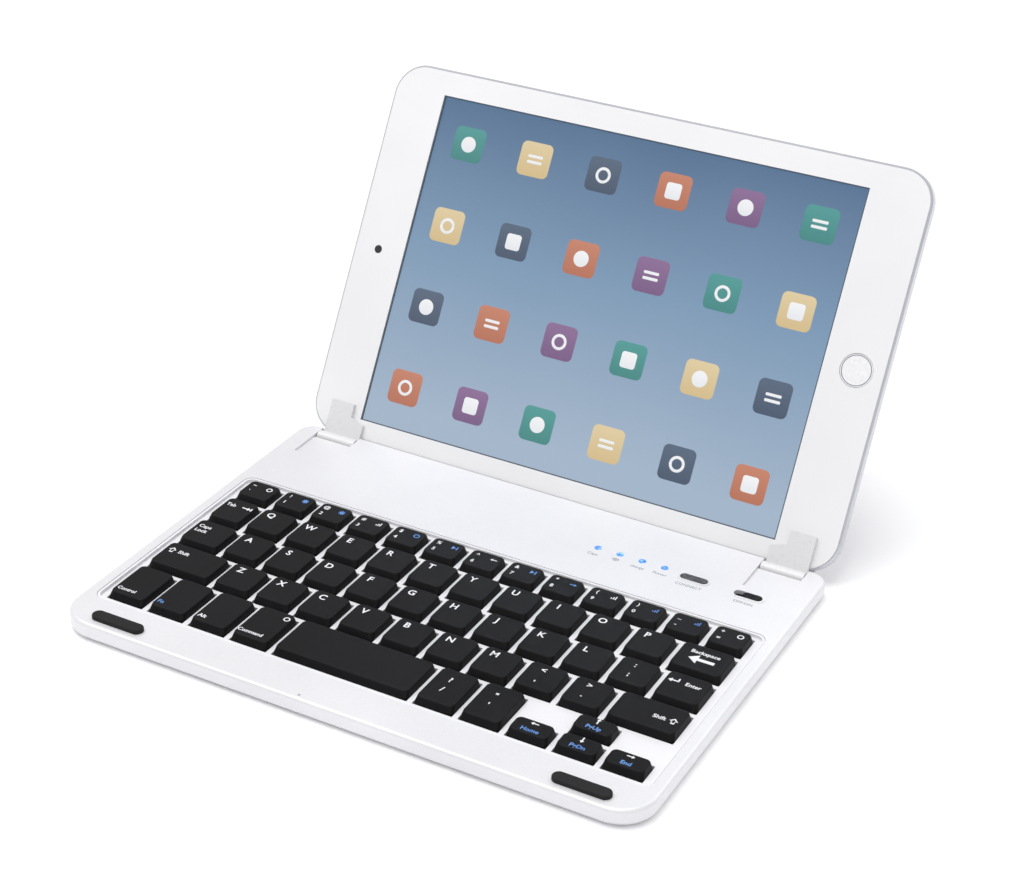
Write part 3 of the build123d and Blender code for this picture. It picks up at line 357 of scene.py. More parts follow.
def plate(outline: np.ndarray, thickness: float) -> Shape:
    """Closed plate: the outline at z = 0 and again at z = thickness, joined by side walls.

    Args:
        outline: (n, 2) anticlockwise outline in millimetres.
        thickness: height of the plate in millimetres.

    Returns:
        The plate.
    """
    count = len(outline)
    low = np.column_stack([outline, np.zeros(count)])
    high = np.column_stack([outline, np.full(count, thickness)])
    ring = np.arange(count)
    after = np.roll(ring, -1)
    sides = np.column_stack([ring, after, after + count, ring + count])
    faces: Faces = [tuple(ring[::-1].tolist()), tuple((ring + count).tolist())]
    return Shape(np.vstack([low, high]), faces + [tuple(f) for f in sides.tolist()])


def disc_outline(radius: float, count: int = 24) -> np.ndarray:
    """Circle: radius times cosine and sine of count even steps round."""
    turn = np.linspace(0, 2 * np.pi, count, endpoint=False)
    return radius * np.column_stack([np.cos(turn), np.sin(turn)])


def tile_outline(width: float, height: float, corner: float, steps: int = 6) -> np.ndarray:
    """Rounded rectangle: a quarter circle of radius corner about each corner's centre.

    Args:
        width: overall width.
        height: overall height.
        corner: corner radius.
        steps: points along each quarter circle.

    Returns:
        (n, 2) anticlockwise outline.
    """
    quarter = np.linspace(0, np.pi / 2, steps)
    start = np.repeat(np.arange(4) * np.pi / 2, steps)
    turn = start + np.tile(quarter, 4)
    side_x = np.repeat([1, -1, -1, 1], steps) * (width / 2 - corner)
    side_y = np.repeat([1, 1, -1, -1], steps) * (height / 2 - corner)
    return np.column_stack([side_x + corner * np.cos(turn), side_y + corner * np.sin(turn)])


def band_outline(inner: float, outer: float, start: float, stop: float,
                 steps: int = 14) -> np.ndarray:
    """Arc band: out along the outer circle from start to stop, back along the inner one.

    Args:
        inner: inner radius.
        outer: outer radius.
        start: first angle in degrees.
        stop: last angle in degrees.
        steps: points along each arc.

    Returns:
        (n, 2) anticlockwise outline.
    """
    turn = np.radians(np.linspace(start, stop, steps))
    arc = np.column_stack([np.cos(turn), np.sin(turn)])
    return np.vstack([outer * arc, inner * arc[::-1]])


def arrow_outline(length: float, shaft: float, head: float) -> np.ndarray:
    """Arrow to the right: a shaft of that thickness and a triangular head of length head."""
    half, tail, neck, tip = shaft / 2, -length / 2, length / 2 - head, length / 2
    return np.array([(tail, -half), (neck, -half), (neck, -head * 0.75), (tip, 0),
                     (neck, head * 0.75), (neck, half), (tail, half)])


def star_outline(teeth: int, outer: float, inner: float) -> np.ndarray:
    """Gear or sun rim: the radius steps between outer and inner four times per tooth."""
    count = teeth * 4
    turn = np.linspace(0, 2 * np.pi, count, endpoint=False)
    radius = np.where(np.arange(count) % 4 < 2, outer, inner)
    return radius[:, None] * np.column_stack([np.cos(turn), np.sin(turn)])


class Align(Enum):
    """Which end of a word stands at its point."""

    LEFT = "LEFT"
    CENTRE = "CENTER"
    RIGHT = "RIGHT"


CAPITAL_SHARE = 0.729   # capital height of the built-in face at size 1


def lettering(words: str, capital_mm: float, thickness: float, align: Align = Align.CENTRE,
              weight: float = 0.0) -> Shape:
    """Solid lettering from the built-in face, its capitals centred on y = 0.

    Args:
        words: the text.
        capital_mm: height of a capital letter.
        thickness: how far the letters stand up from their plane.
        align: which end of the word is at x = 0.
        weight: how far the strokes are grown, as a share of the letter size.

    Returns:
        The letters as one closed shape.
    """
    size = capital_mm / CAPITAL_SHARE
    curve = bpy.data.curves.new("lettering", "FONT")
    curve.body = words
    curve.size = 1.0
    curve.align_x = align.value
    curve.extrude = thickness / size / 2
    curve.offset = weight
    curve.resolution_u = 3
    holder = bpy.data.objects.new("lettering", curve)
    mesh = bpy.data.meshes.new_from_object(holder)
    points = np.empty(len(mesh.vertices) * 3)
    mesh.vertices.foreach_get("co", points)
    points = points.reshape(-1, 3) * size + np.array([0, -capital_mm / 2, thickness / 2])
    faces = [tuple(polygon.vertices) for polygon in mesh.polygons]
    bpy.data.objects.remove(holder)
    bpy.data.curves.remove(curve)
    bpy.data.meshes.remove(mesh)
    return Shape(points, faces)


def mesh_object(name: str, points: np.ndarray, faces: Faces,
                materials: list[bpy.types.Material]) -> bpy.types.Object:
    """Make a mesh object at the origin.

    Args:
        name: the piece's name.
        points: (n, 3) points in metres.
        faces: corner numbers of each face.
        materials: the piece's material slots.

    Returns:
        The new object, linked into the scene.
    """
    mesh = bpy.data.meshes.new(name)
    mesh.from_pydata(points.tolist(), [], faces)
    for material in materials:
        mesh.materials.append(material)
    mesh.update()
    made = bpy.data.objects.new(name, mesh)
    bpy.context.scene.collection.objects.link(made)
    return made


@dataclass
class PrintSheet:
    """Gathers shapes in one plane and makes them one thin piece with several inks."""

    name: str
    inks: list[bpy.types.Material]
    points: list[np.ndarray] = field(default_factory=list)
    faces: Faces = field(default_factory=list)
    ink_of_face: list[int] = field(default_factory=list)
    local: list[np.ndarray] = field(default_factory=list)

    def add(self, shape: Shape, place: Placement, ink: int = 0) -> None:
        """Add one shape in one ink.

        Args:
            shape: what to add.
            place: the plane it lies in.
            ink: number of its ink in inks.
        """
        start = sum(len(block) for block in self.points)
        self.points.append(place.to_row(shape.points))
        low, high = shape.points[:, :2].min(0), shape.points[:, :2].max(0)
        self.local.append((shape.points[:, :2] - low) / np.maximum(high - low, 1e-6))
        self.faces += [tuple(start + i for i in face) for face in shape.faces]
        self.ink_of_face += [ink] * len(shape.faces)

    def make(self, body: str, slot: str) -> bpy.types.Object:
        """Make the piece and let it ride.

        Args:
            body: CAD body that it moves with.
            slot: not used.

        Returns:
            The piece.
        """
        made = mesh_object(self.name, np.vstack(self.points), self.faces, self.inks)
        made.data.polygons.foreach_set("material_index", self.ink_of_face)
        corners = np.empty(len(made.data.loops), np.int32)
        made.data.loops.foreach_get("vertex_index", corners)
        layer = made.data.uv_layers.new(name="local")
        layer.data.foreach_set("uv", np.vstack(self.local)[corners].ravel().astype(np.float32))
        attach(made, body)
        log.info("%s: %d faces on %s", self.name, len(self.faces), body)
        return made


# ---------------------------------------------------------------- reading the frame
def cad_points(node: str) -> np.ndarray:
    """The vertices of a CAD node as an (n, 3) array in metres."""
    mesh = frame["nodes"][node].data
    points = np.empty(len(mesh.vertices) * 3, np.float32)
    mesh.vertices.foreach_get("co", points)
    return points.reshape(-1, 3).astype(float)


def joint(name: str) -> dict[str, Any]:
    """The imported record's joint of that name."""
    return next(j for j in frame["joints"] if j["name"] == name)


def island_boxes(node: str) -> list[tuple[np.ndarray, np.ndarray]]:
    """Find the box of each separate solid in a CAD node.

    Each vertex starts with its own number, and takes the lowest number across its edges until
    nothing changes, so a solid ends with one number.

    Args:
        node: the CAD node.

    Returns:
        Lowest and highest corners, from the rear row to the front and left to right.
    """
    mesh = frame["nodes"][node].data
    points, number = np.unique(np.round(cad_points(node), 6), axis=0, return_inverse=True)
    edges = np.empty(len(mesh.edges) * 2, np.int32)
    mesh.edges.foreach_get("vertices", edges)
    pairs = number.reshape(-1)[edges.reshape(-1, 2)]
    label = np.arange(len(points))
    while True:
        lowest = np.minimum(label[pairs[:, 0]], label[pairs[:, 1]])
        fresh = label.copy()
        np.minimum.at(fresh, pairs[:, 0], lowest)
        np.minimum.at(fresh, pairs[:, 1], lowest)
        fresh = fresh[fresh]
        if np.array_equal(fresh, label):
            break
        label = fresh
    boxes = [(points[label == i].min(0), points[label == i].max(0)) for i in np.unique(label)]
    return sorted(boxes, key=lambda b: (-round((b[0][1] + b[1][1]) / MM), b[0][0]))


# ---------------------------------------------------------------- keys
PRINT_MM = 0.015        # thickness of printed ink, drawn a little thick so that it shows
LETTERS = "QWERTYUIOPASDFGHJKLZXCVBNM"


class Glyph(Enum):
    """Drawn marks beside the lettering."""

    LEFT = 180.0
    RIGHT = 0.0
    UP = 90.0
    DOWN = -90.0
    ENTER = "enter"
    SHIFT = "shift"
    TAB = "tab"
    SUN = "sun"
    RING = "ring"
    PLAY = "play"
    BARS = "bars"


def glyph_shapes(glyph: Glyph, size: float) -> list[Shape]:
    """Draw one mark.

    Args:
        glyph: which mark.
        size: its width in millimetres.

    Returns:
        Its strokes as thin plates.
    """
    stroke = size * 0.16
    arrow = plate(arrow_outline(size, stroke, size * 0.36), PRINT_MM)
    if isinstance(glyph.value, float):
        return [arrow.moved(0, 0, glyph.value)]
    if glyph is Glyph.ENTER:
        stem = plate(tile_outline(stroke, size * 0.4, stroke / 3), PRINT_MM)
        return [arrow.moved(0, 0, 180), stem.moved(size / 2 - stroke / 2, size * 0.2)]
    if glyph is Glyph.TAB:
        bar = plate(tile_outline(stroke, size * 0.5, stroke / 3), PRINT_MM)
        return [arrow, bar.moved(size * 0.58, 0)]
    if glyph is Glyph.SHIFT:
        outer = np.array([(-0.22, -0.5), (0.22, -0.5), (0.22, 0), (0.5, 0), (0, 0.5), (-0.5, 0),
                          (-0.22, 0)]) * size
        inner = outer * 0.62 + np.array([0, -0.02 * size])
        count = len(outer)
        rings = np.vstack([outer, inner])
        low = np.column_stack([rings, np.zeros(2 * count)])
        high = low + np.array([0, 0, PRINT_MM])
        faces: Faces = []
        for i in range(count):
            j = (i + 1) % count
            k = 2 * count
            faces += [(i + k, j + k, j + count + k, i + count + k), (j, i, i + count, j + count),
                      (i, j, j + k, i + k), (j + count, i + count, i + count + k, j + count + k)]
        return [Shape(np.vstack([low, high]), faces)]
    if glyph is Glyph.SUN:
        return [plate(star_outline(8, size * 0.5, size * 0.3), PRINT_MM)]
    if glyph is Glyph.RING:
        halves = [band_outline(size * 0.3, size * 0.46, a, a + 179) for a in (0, 180)]
        return [plate(half, PRINT_MM) for half in halves]
    if glyph is Glyph.PLAY:
        points = np.array([(-0.4, -0.4), (0.15, 0), (-0.4, 0.4)]) * size
        bar = plate(tile_outline(stroke, size * 0.8, stroke / 3), PRINT_MM)
        return [plate(points, PRINT_MM), bar.moved(size * 0.35, 0)]
    bars = []
    for i in range(3):
        height = size * (0.3 + 0.25 * i)
        bar = plate(tile_outline(stroke, height, stroke / 3), PRINT_MM)
        bars.append(bar.moved((i - 1) * stroke * 1.8, height / 2 - size * 0.4))
    return bars


@dataclass(frozen=True)
class Mark:
    """One printed mark: lettering or a glyph, placed from the middle of a key's top."""

    what: str | Glyph
    x: float
    y: float
    size: float
    ink: int = 0
    align: Align = Align.CENTRE
    weight: float = 0.02

    def shapes(self) -> list[Shape]:
        """The mark's plates, moved to its place."""
        if isinstance(self.what, Glyph):
            return [shape.moved(self.x, self.y) for shape in glyph_shapes(self.what, self.size)]
        made = lettering(self.what, self.size, PRINT_MM, self.align, self.weight)
        return [made.moved(self.x, self.y)]


WHITE, BLUE = 0, 1
NUMBER_MARKS = [("~", "`", Glyph.RING), ("!", "1", Glyph.SUN), ("@", "2", Glyph.SUN),
                ("#", "3", Glyph.BARS), ("$", "4", Glyph.RING), ("%", "5", Glyph.PLAY),
                ("^", "6", Glyph.LEFT), ("&", "7", Glyph.PLAY), ("*", "8", Glyph.RIGHT),
                ("(", "9", Glyph.BARS), (")", "0", Glyph.BARS), ("_", "-", Glyph.BARS),
                ("+", "=", Glyph.RING)]
SYMBOL_MARKS = [(":", ";"), ("<", ","), (">", "."), ("?", "/"), ("\"", "'")]


@dataclass
class Keyboard:
    """The keys' printed legends, and the rubber domes and scissor links under them."""

    letter_mm: float = 2.7
    small_mm: float = 1.7
    top_shift_mm: float = 0.35
    dome_base_mm: float = 2.45
    dome_top_mm: float = 1.25
    dome_wall_mm: float = 0.6
    link_width_mm: float = 9.4
    link_reach_mm: float = 14.5
    link_inset_mm: float = 4.0
    link_bar_mm: float = 0.8
    link_thickness_mm: float = 0.5
    link_gap_mm: float = 0.1
    dome_gap_mm: float = 0.05
    keep: float = 0.61
    boxes: dict[str, list[tuple[np.ndarray, np.ndarray]]] = field(default_factory=dict)

    def __post_init__(self) -> None:
        """Read where every key is."""
        groups = [f"key_{letter}" for letter in LETTERS] + ["key_space"]
        groups += ["keys_number_row", "keys_symbols", "keys_words", "keys_arrows"]
        self.boxes = {name: island_boxes(name) for name in groups}

    def top(self, box: tuple[np.ndarray, np.ndarray]) -> Placement:
        """The plane of a key's top, with its origin in the top's middle."""
        middle = (box[0] + box[1]) / 2
        origin = Vector((middle[0], middle[1] + self.top_shift_mm * MM, box[1][2]))
        return Placement(origin, Vector((1, 0, 0)), Vector((0, 1, 0)), Vector((0, 0, 1)))

    def word_marks(self) -> list[list[Mark]]:
        """Marks of the named keys, from the rear row to the front and left to right."""
        s = self.small_mm
        r, left = Align.RIGHT, Align.LEFT
        return [
            [Mark("Tab", -4.6, 2.6, s, align=left), Mark(Glyph.TAB, 3.0, 2.6, 3.2)],
            [Mark("Backspace", 0, 2.8, s), Mark(Glyph.LEFT, 0, -1.0, 8.5)],
            [Mark("Caps", -5.6, 2.9, s, align=left), Mark("Lock", -5.6, 0.2, s, align=left)],
            [Mark("Enter", 4.8, 2.0, s, align=r), Mark(Glyph.ENTER, -4.2, 2.0, 3.6)],
            [Mark(Glyph.SHIFT, -8.2, 2.2, 2.8), Mark("Shift", -5.8, 2.2, s, align=left)],
            [Mark("Shift", 5.6, -0.4, s, align=r), Mark(Glyph.SHIFT, 8.0, -0.4, 2.8)],
            [Mark("Control", -5.2, -5.6, s * 0.9, align=left)],
            [Mark("Fn", -5.2, -5.6, s, BLUE, left)],
            [Mark("Alt", -5.2, -5.6, s, align=left)],
            [Mark("Command", -5.9, -5.6, s * 0.9, align=left), Mark(Glyph.RING, 4.4, 5.6, 2.4)],
        ]

    def arrow_marks(self) -> list[list[Mark]]:
        """Marks of the four arrow keys: up, left, down and right."""
        pairs = [(Glyph.UP, "PgUp"), (Glyph.LEFT, "Home"), (Glyph.DOWN, "PgDn"),
                 (Glyph.RIGHT, "End")]
        return [[Mark(glyph, 0, 1.9, 2.6), Mark(word, 0, -1.4, self.small_mm, BLUE)]
                for glyph, word in pairs]

    def marks(self) -> dict[str, list[list[Mark]]]:
        """Every key node's marks, one list per key in the order of its boxes."""
        found = {f"key_{c}": [[Mark(c, -2.4, 3.4, self.letter_mm)]] for c in LETTERS}
        found["keys_number_row"] = [
            [Mark(high, -3.2, 2.4, self.small_mm), Mark(low, -3.2, -1.6, self.small_mm),
             Mark(glyph, 2.8, 1.8, 2.4, BLUE if i % 3 else WHITE)]
            for i, (high, low, glyph) in enumerate(NUMBER_MARKS)]
        found["keys_symbols"] = [
            [Mark(high, -1.0, 3.4, self.letter_mm * 0.85),
             Mark(low, -1.0, -1.8, self.letter_mm * 0.85)] for high, low in SYMBOL_MARKS]
        found["keys_words"] = self.word_marks()
        found["keys_arrows"] = self.arrow_marks()
        return found

    def print_legends(self, inks: list[bpy.types.Material]) -> None:
        """Print every key's marks on its top.

        Args:
            inks: the white and the blue ink.
        """
        for node, per_key in self.marks().items():
            sheet = PrintSheet(node.replace("key", "legend", 1), inks)
            for box, marks in zip(self.boxes[node], per_key):
                for mark in marks:
                    for shape in mark.shapes():
                        sheet.add(shape, self.top(box), mark.ink)
            sheet.make(node, "black_key")

    def dome(self, centres: np.ndarray, low: float, high: float) -> Shape:
        """Hollow rubber domes: a bell profile turned about each centre.

        The outer radius falls from the base to the top as a raised cosine of the height, and
        the inner wall follows it one wall thickness inside.

        Args:
            centres: (m, 2) centres in millimetres.
            low: height of the base.
            high: height of the top.

        Returns:
            All domes as one shape.
        """
        share = np.linspace(0, 1, 6)
        fall = (1 + np.cos(np.pi * share)) / 2
        outer_r = self.dome_top_mm + (self.dome_base_mm - self.dome_top_mm) * fall
        outer_z = low + (high - low) * share
        inner_r = outer_r - self.dome_wall_mm
        inner_z = low + (high - low - self.dome_wall_mm) * share
        radius = np.concatenate([outer_r[::-1], inner_r])
        height = np.concatenate([outer_z[::-1], inner_z])
        segments, rows = 16, len(radius)
        turn = np.linspace(0, 2 * np.pi, segments, endpoint=False)
        ring = np.stack([radius[:, None] * np.cos(turn), radius[:, None] * np.sin(turn),
                         np.repeat(height[:, None], segments, 1)], -1).reshape(-1, 3)
        one = np.vstack([[0, 0, high], ring, [0, 0, inner_z[-1]]])
        base = 1 + np.arange(rows - 1)[:, None] * segments
        column = np.arange(segments)[None, :]
        after = (column + 1) % segments
        walls = np.stack([base + column, base + segments + column, base + segments + after,
                          base + after], -1).reshape(-1, 4)
        first, last = 1 + column[0], 1 + (rows - 1) * segments + column[0]
        caps = np.concatenate([
            np.column_stack([np.zeros(segments, int), first, np.roll(first, -1)]),
            np.column_stack([np.full(segments, len(one) - 1), np.roll(last, -1), last])])
        points = (one[None] + np.pad(centres, ((0, 0), (0, 1)))[:, None]).reshape(-1, 3)
        faces: Faces = []
        for i in range(len(centres)):
            faces += [tuple(f) for f in (walls + i * len(one)).tolist()]
            faces += [tuple(f) for f in (caps + i * len(one)).tolist()]
        return Shape(points, faces)

    def link(self, width: float, length: float, tilt: float) -> Shape:
        """Scissor frame: a flat rectangular ring, tilted about the key's left-right axis.

        Args:
            width: width across the key.
            length: length along the key.
            tilt: angle in radians.

        Returns:
            One frame about the origin.
        """
        half = np.array([(-1, -1), (1, -1), (1, 1), (-1, 1)]) / 2
        outer = half * np.array([width, length])
        inner = half * (np.array([width, length]) - 2 * self.link_bar_mm)
        rings = np.vstack([outer, inner])
        thick = self.link_thickness_mm / 2
        flat = np.vstack([np.column_stack([rings, np.full(8, -thick)]),
                          np.column_stack([rings, np.full(8, thick)])])
        c, s = math.cos(tilt), math.sin(tilt)
        turn = np.array([[1, 0, 0], [0, c, s], [0, -s, c]])
        faces: Faces = []
        for i in range(4):
            j = (i + 1) % 4
            faces += [(i + 8, j + 8, j + 12, i + 12), (j, i, i + 4, j + 4),
                      (i, j, j + 8, i + 8), (j + 4, i + 4, i + 12, j + 12)]
        return Shape(flat @ turn, faces)

    def build_mechanisms(self, rubber: bpy.types.Material, plastic: bpy.types.Material) -> None:
        """Make the domes and links of each key node, and hide the CAD domes and links they stand
        for.

        Args:
            rubber: finish of the domes.
            plastic: finish of the links.
        """
        ground = Placement(Vector(), Vector((1, 0, 0)), Vector((0, 1, 0)), Vector((0, 0, 1)))
        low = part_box("rubber_domes")[0].z / MM
        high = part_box("rubber_domes")[1].z / MM - self.dome_gap_mm
        middle, rise = (low + high) / 2, (high - low) / 2 - self.link_thickness_mm
        for node, boxes in self.boxes.items():
            centres = np.array([(box[0] + box[1])[:2] / 2 / MM for box in boxes])
            domes = PrintSheet(node.replace("key", "dome", 1), [rubber])
            domes.add(self.dome(centres, low, high), ground)
            pieces = [(domes, "rubber_domes", "grey_rubber")]
            if node != "keys_arrows":
                links = PrintSheet(node.replace("key", "scissor", 1), [plastic])
                for box, centre in zip(boxes, centres):
                    depth = (box[1][1] - box[0][1]) / MM
                    length = min(depth, self.link_reach_mm) - self.link_inset_mm
                    tilt = math.asin(2 * rise / length)
                    slim = self.link_width_mm - 2 * (self.link_bar_mm + self.link_gap_mm)
                    for width, angle in ((self.link_width_mm, tilt), (slim, -tilt)):
                        shape = self.link(width, length, angle)
                        links.add(shape.moved(*centre, z=middle), ground)
                pieces.append((links, "scissor_links", "white_plastic"))
            for sheet, replaced, slot in pieces:
                made = sheet.make("base", slot)
                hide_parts(replaced)
                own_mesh(made)


# ---------------------------------------------------------------- lid
@dataclass
class Lid:
    """The tablet's own plane and screen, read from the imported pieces.

    The plane's origin is the middle of the lit picture, a little off the glass's own middle.
    """

    screen_width_mm: float = 157.8
    screen_height_mm: float = 117.6
    screen_shift_mm: tuple[float, float] = (-0.8, -0.9)
    plane: Placement = field(init=False)
    top_mm: float = field(init=False)

    def __post_init__(self) -> None:
        """Find the lid's axes from its joints, and its middle and heights from its pieces."""
        up = Vector(joint("tablet_lift_out")["axis"]).normalized()
        out = -Vector(joint("home_button_press")["axis"]).normalized()
        pivot = Vector(joint("lid_hinge")["pos_m"])
        pivot.x = 0
        glass = (cad_points("tablet_glass") - np.array(pivot)) @ np.array([up, out]).T
        middle = (glass[:, 0].min() + glass[:, 0].max()) / 2
        origin = pivot + up * middle + out * glass[:, 1].max()
        self.plane = Placement(origin, Vector((1, 0, 0)), up, out).at(*self.screen_shift_mm)
        display = (cad_points("tablet_display") - np.array(origin)) @ np.array(out)
        self.top_mm = display.max() / MM

    def spot(self, across: float, down: float, lift: float) -> Placement:
        """The plane at a place on the screen.

        Args:
            across: share of the screen's width from its left edge.
            down: share of the screen's height from its top edge.
            lift: height above the display in millimetres.

        Returns:
            The plane there.
        """
        return self.plane.at((across - 0.5) * self.screen_width_mm,
                             (0.5 - down) * self.screen_height_mm, self.top_mm + lift)


def lid_share(tree: bpy.types.NodeTree, lid: Lid, axis: Vector,
              size_mm: float) -> bpy.types.NodeSocket:
    """Distance from the lid's middle along one axis, as a share of a size.

    Args:
        tree: node tree to add to.
        lid: the lid.
        axis: direction to measure along.
        size_mm: distance that counts as 1.

    Returns:
        Socket that gives the share.
    """
    place = add_node(tree, "ShaderNodeTexCoord").outputs["Object"]
    centred = add_node(tree, "ShaderNodeVectorMath", {0: place, 1: lid.plane.origin},
                       operation="SUBTRACT").outputs[0]
    length = add_node(tree, "ShaderNodeVectorMath", {0: centred, 1: axis},
                      operation="DOT_PRODUCT").outputs["Value"]
    return add_node(tree, "ShaderNodeMath", {0: length, 1: 1 / (size_mm * MM)},
                    operation="MULTIPLY").outputs[0]


@dataclass(frozen=True)
class CoverGlass:
    """Chemically strengthened cover glass, back-painted white round a clear window."""

    lid: Lid
    name: str = "back_painted_cover_glass"
    edge_line_mm: float = 0.35
    cloud_mm: float = 50.0

    def inside(self, tree: bpy.types.NodeTree, grow: float) -> bpy.types.NodeSocket:
        """1 inside the window grown by grow millimetres on each side, 0 outside.

        The larger of the two shares of the half sizes is below 1 only inside.
        """
        shares = []
        for axis, size in ((self.lid.plane.right, self.lid.screen_width_mm),
                           (self.lid.plane.up, self.lid.screen_height_mm)):
            share = lid_share(tree, self.lid, axis, size / 2 + grow)
            shares.append(add_node(tree, "ShaderNodeMath", {0: share},
                                   operation="ABSOLUTE").outputs[0])
        larger = add_node(tree, "ShaderNodeMath", {0: shares[0], 1: shares[1]},
                          operation="MAXIMUM").outputs[0]
        return add_node(tree, "ShaderNodeMath", {0: larger, 1: 1.0},
                        operation="LESS_THAN").outputs[0]

    def build(self) -> bpy.types.Material:
        """Make the material: clear window, thin dark line round it, white paint outside."""
        material, tree = blank_material(self.name)
        place = add_node(tree, "ShaderNodeTexCoord").outputs["Object"]
        cloud = add_node(tree, "ShaderNodeTexNoise", {
            "Vector": place, "Scale": 1 / (self.cloud_mm * MM)}).outputs[0]
        paint = ramp(tree, cloud, [(0.3, "#e8e8e9"), (0.7, "#eeeeef")])
        dark = linear("#4a5560")
        line = add_node(tree, "ShaderNodeMix", {
            0: self.inside(tree, self.edge_line_mm), 6: paint, 7: dark},
            data_type="RGBA").outputs[2]
        painted = add_node(tree, "ShaderNodeBsdfPrincipled", {
            "Base Color": line, "Roughness": 0.28, "Specular IOR Level": 0.4,
            "Coat Weight": 0.3, "Coat Roughness": 0.05})
        clear = add_node(tree, "ShaderNodeBsdfTransparent")
        gloss = add_node(tree, "ShaderNodeBsdfGlossy", {"Roughness": 0.04})
        # Facing is the same from both sides of the pane, so the display shows at every angle.
        mirror = add_node(tree, "ShaderNodeLayerWeight", {"Blend": 0.08}).outputs["Facing"]
        window = add_node(tree, "ShaderNodeMixShader", {
            0: mirror, 1: clear.outputs[0], 2: gloss.outputs[0]})
        whole = add_node(tree, "ShaderNodeMixShader", {
            0: self.inside(tree, 0.0), 1: painted.outputs[0], 2: window.outputs[0]})
        add_node(tree, "ShaderNodeOutputMaterial", {"Surface": whole.outputs[0]})
        return material


@dataclass(frozen=True)
class ScreenPicture:
    """Backlit display showing one plain sweep of blue-grey, a little cloudy."""

    lid: Lid
    name: str = "lit_display_panel"
    strength: float = 0.95
    cloud_mm: float = 70.0
    cloud_share: float = 0.12

    def build(self) -> bpy.types.Material:
        """Make the material: the height up the screen picks the colour, moved by a slow cloud."""
        material, tree = blank_material(self.name)
        height = lid_share(tree, self.lid, self.lid.plane.up, -self.lid.screen_height_mm)
        down = add_node(tree, "ShaderNodeMath", {0: height, 1: 0.5}, operation="ADD").outputs[0]
        place = add_node(tree, "ShaderNodeTexCoord").outputs["Object"]
        cloud = add_node(tree, "ShaderNodeTexNoise", {
            "Vector": place, "Scale": 1 / (self.cloud_mm * MM)}).outputs[0]
        moved = add_node(tree, "ShaderNodeMath", {0: cloud, 1: self.cloud_share, 2: down},
                         operation="MULTIPLY_ADD").outputs[0]
        colour = ramp(tree, moved, [(0.0, "#47688c"), (0.5, "#7c9ab8"), (1.0, "#a3b6cb")])
        shader = add_node(tree, "ShaderNodeBsdfPrincipled", {
            "Base Color": linear("#050506"), "Roughness": 0.3, "Emission Color": colour,
            "Emission Strength": self.strength})
        add_node(tree, "ShaderNodeOutputMaterial", {"Surface": shader.outputs[0]})
        return material


@dataclass(frozen=True)
class LitInk:
    """Backlit picture element of the display, lighter at its top than at its foot."""

    name: str
    top: str
    foot: str
    strength: float = 0.95

    def build(self) -> bpy.types.Material:
        """Make the material: the height on the piece's own map picks the colour."""
        material, tree = blank_material(f"lit_{self.name}")
        own = add_node(tree, "ShaderNodeUVMap", uv_map="local").outputs[0]
        rise = add_node(tree, "ShaderNodeSeparateXYZ", {0: own}).outputs[1]
        colour = ramp(tree, rise, [(0.0, self.foot), (1.0, self.top)])
        shader = add_node(tree, "ShaderNodeBsdfPrincipled", {
            "Base Color": linear("#050506"), "Roughness": 0.3, "Emission Color": colour,
            "Emission Strength": self.strength})
        add_node(tree, "ShaderNodeOutputMaterial", {"Surface": shader.outputs[0]})
        return material


class Light(Enum):
    """The colours that picture elements are lit in: name, colour at the top and at the foot."""

    PAPER = LitInk("paper", "#f7f8fa", "#e9ecf0")
    SAND = LitInk("sand", "#e3cfa4", "#d6bd8a")
    TEAL = LitInk("teal", "#4f9c98", "#3f8783")
    PLUM = LitInk("plum", "#8d6c97", "#785984")
    SLATE = LitInk("slate", "#56677d", "#44546a")
    CLAY = LitInk("clay", "#c98368", "#b87055")


LAYER_MM = 0.014        # thickness of one layer of picture elements
LIFT_MM = 0.002         # step between one layer and the next, so that none flicker


@dataclass
class HomeScreen:
    """An even grid of plain tiles on the display, each with a disc, bars, ring or square."""

    lid: Lid
    columns: int = 6
    rows: int = 4
    tile_mm: float = 12.0
    corner_mm: float = 2.0
    sign_mm: float = 5.6
    stroke_mm: float = 1.0
    grounds: tuple[Light, ...] = (Light.TEAL, Light.SAND, Light.SLATE, Light.CLAY, Light.PLUM)

    def signs(self) -> list[list[Shape]]:
        """The four signs: a disc, two bars, a ring and a square."""
        half = self.sign_mm / 2
        bar = plate(tile_outline(self.sign_mm, self.stroke_mm, self.stroke_mm / 3), LAYER_MM)
        ring = [plate(band_outline(half - self.stroke_mm, half, start, start + 180), LAYER_MM)
                for start in (0, 180)]
        square = plate(tile_outline(self.sign_mm, self.sign_mm, self.stroke_mm), LAYER_MM)
        return [[plate(disc_outline(half), LAYER_MM)],
                [bar.moved(0, self.stroke_mm), bar.moved(0, -self.stroke_mm)], ring, [square]]

    def build(self) -> None:
        """Lay the tiles just over the display and one sign on each."""
        inks = [light.value.build() for light in Light]
        number = {light: i for i, light in enumerate(Light)}
        base = PrintSheet("screen_tiles", inks)
        marks = PrintSheet("screen_signs", inks)
        tile = plate(tile_outline(self.tile_mm, self.tile_mm, self.corner_mm), LAYER_MM)
        signs = self.signs()
        for i in range(self.columns * self.rows):
            across = (i % self.columns + 0.5) / self.columns
            down = (i // self.columns + 0.5) / self.rows
            ground = self.grounds[i % len(self.grounds)]
            base.add(tile, self.lid.spot(across, down, LIFT_MM), number[ground])
            for shape in signs[i % len(signs)]:
                place = self.lid.spot(across, down, 2 * LIFT_MM + LAYER_MM)
                marks.add(shape, place, number[Light.PAPER])
        base.make("tablet", "screen")
        marks.make("tablet", "screen")


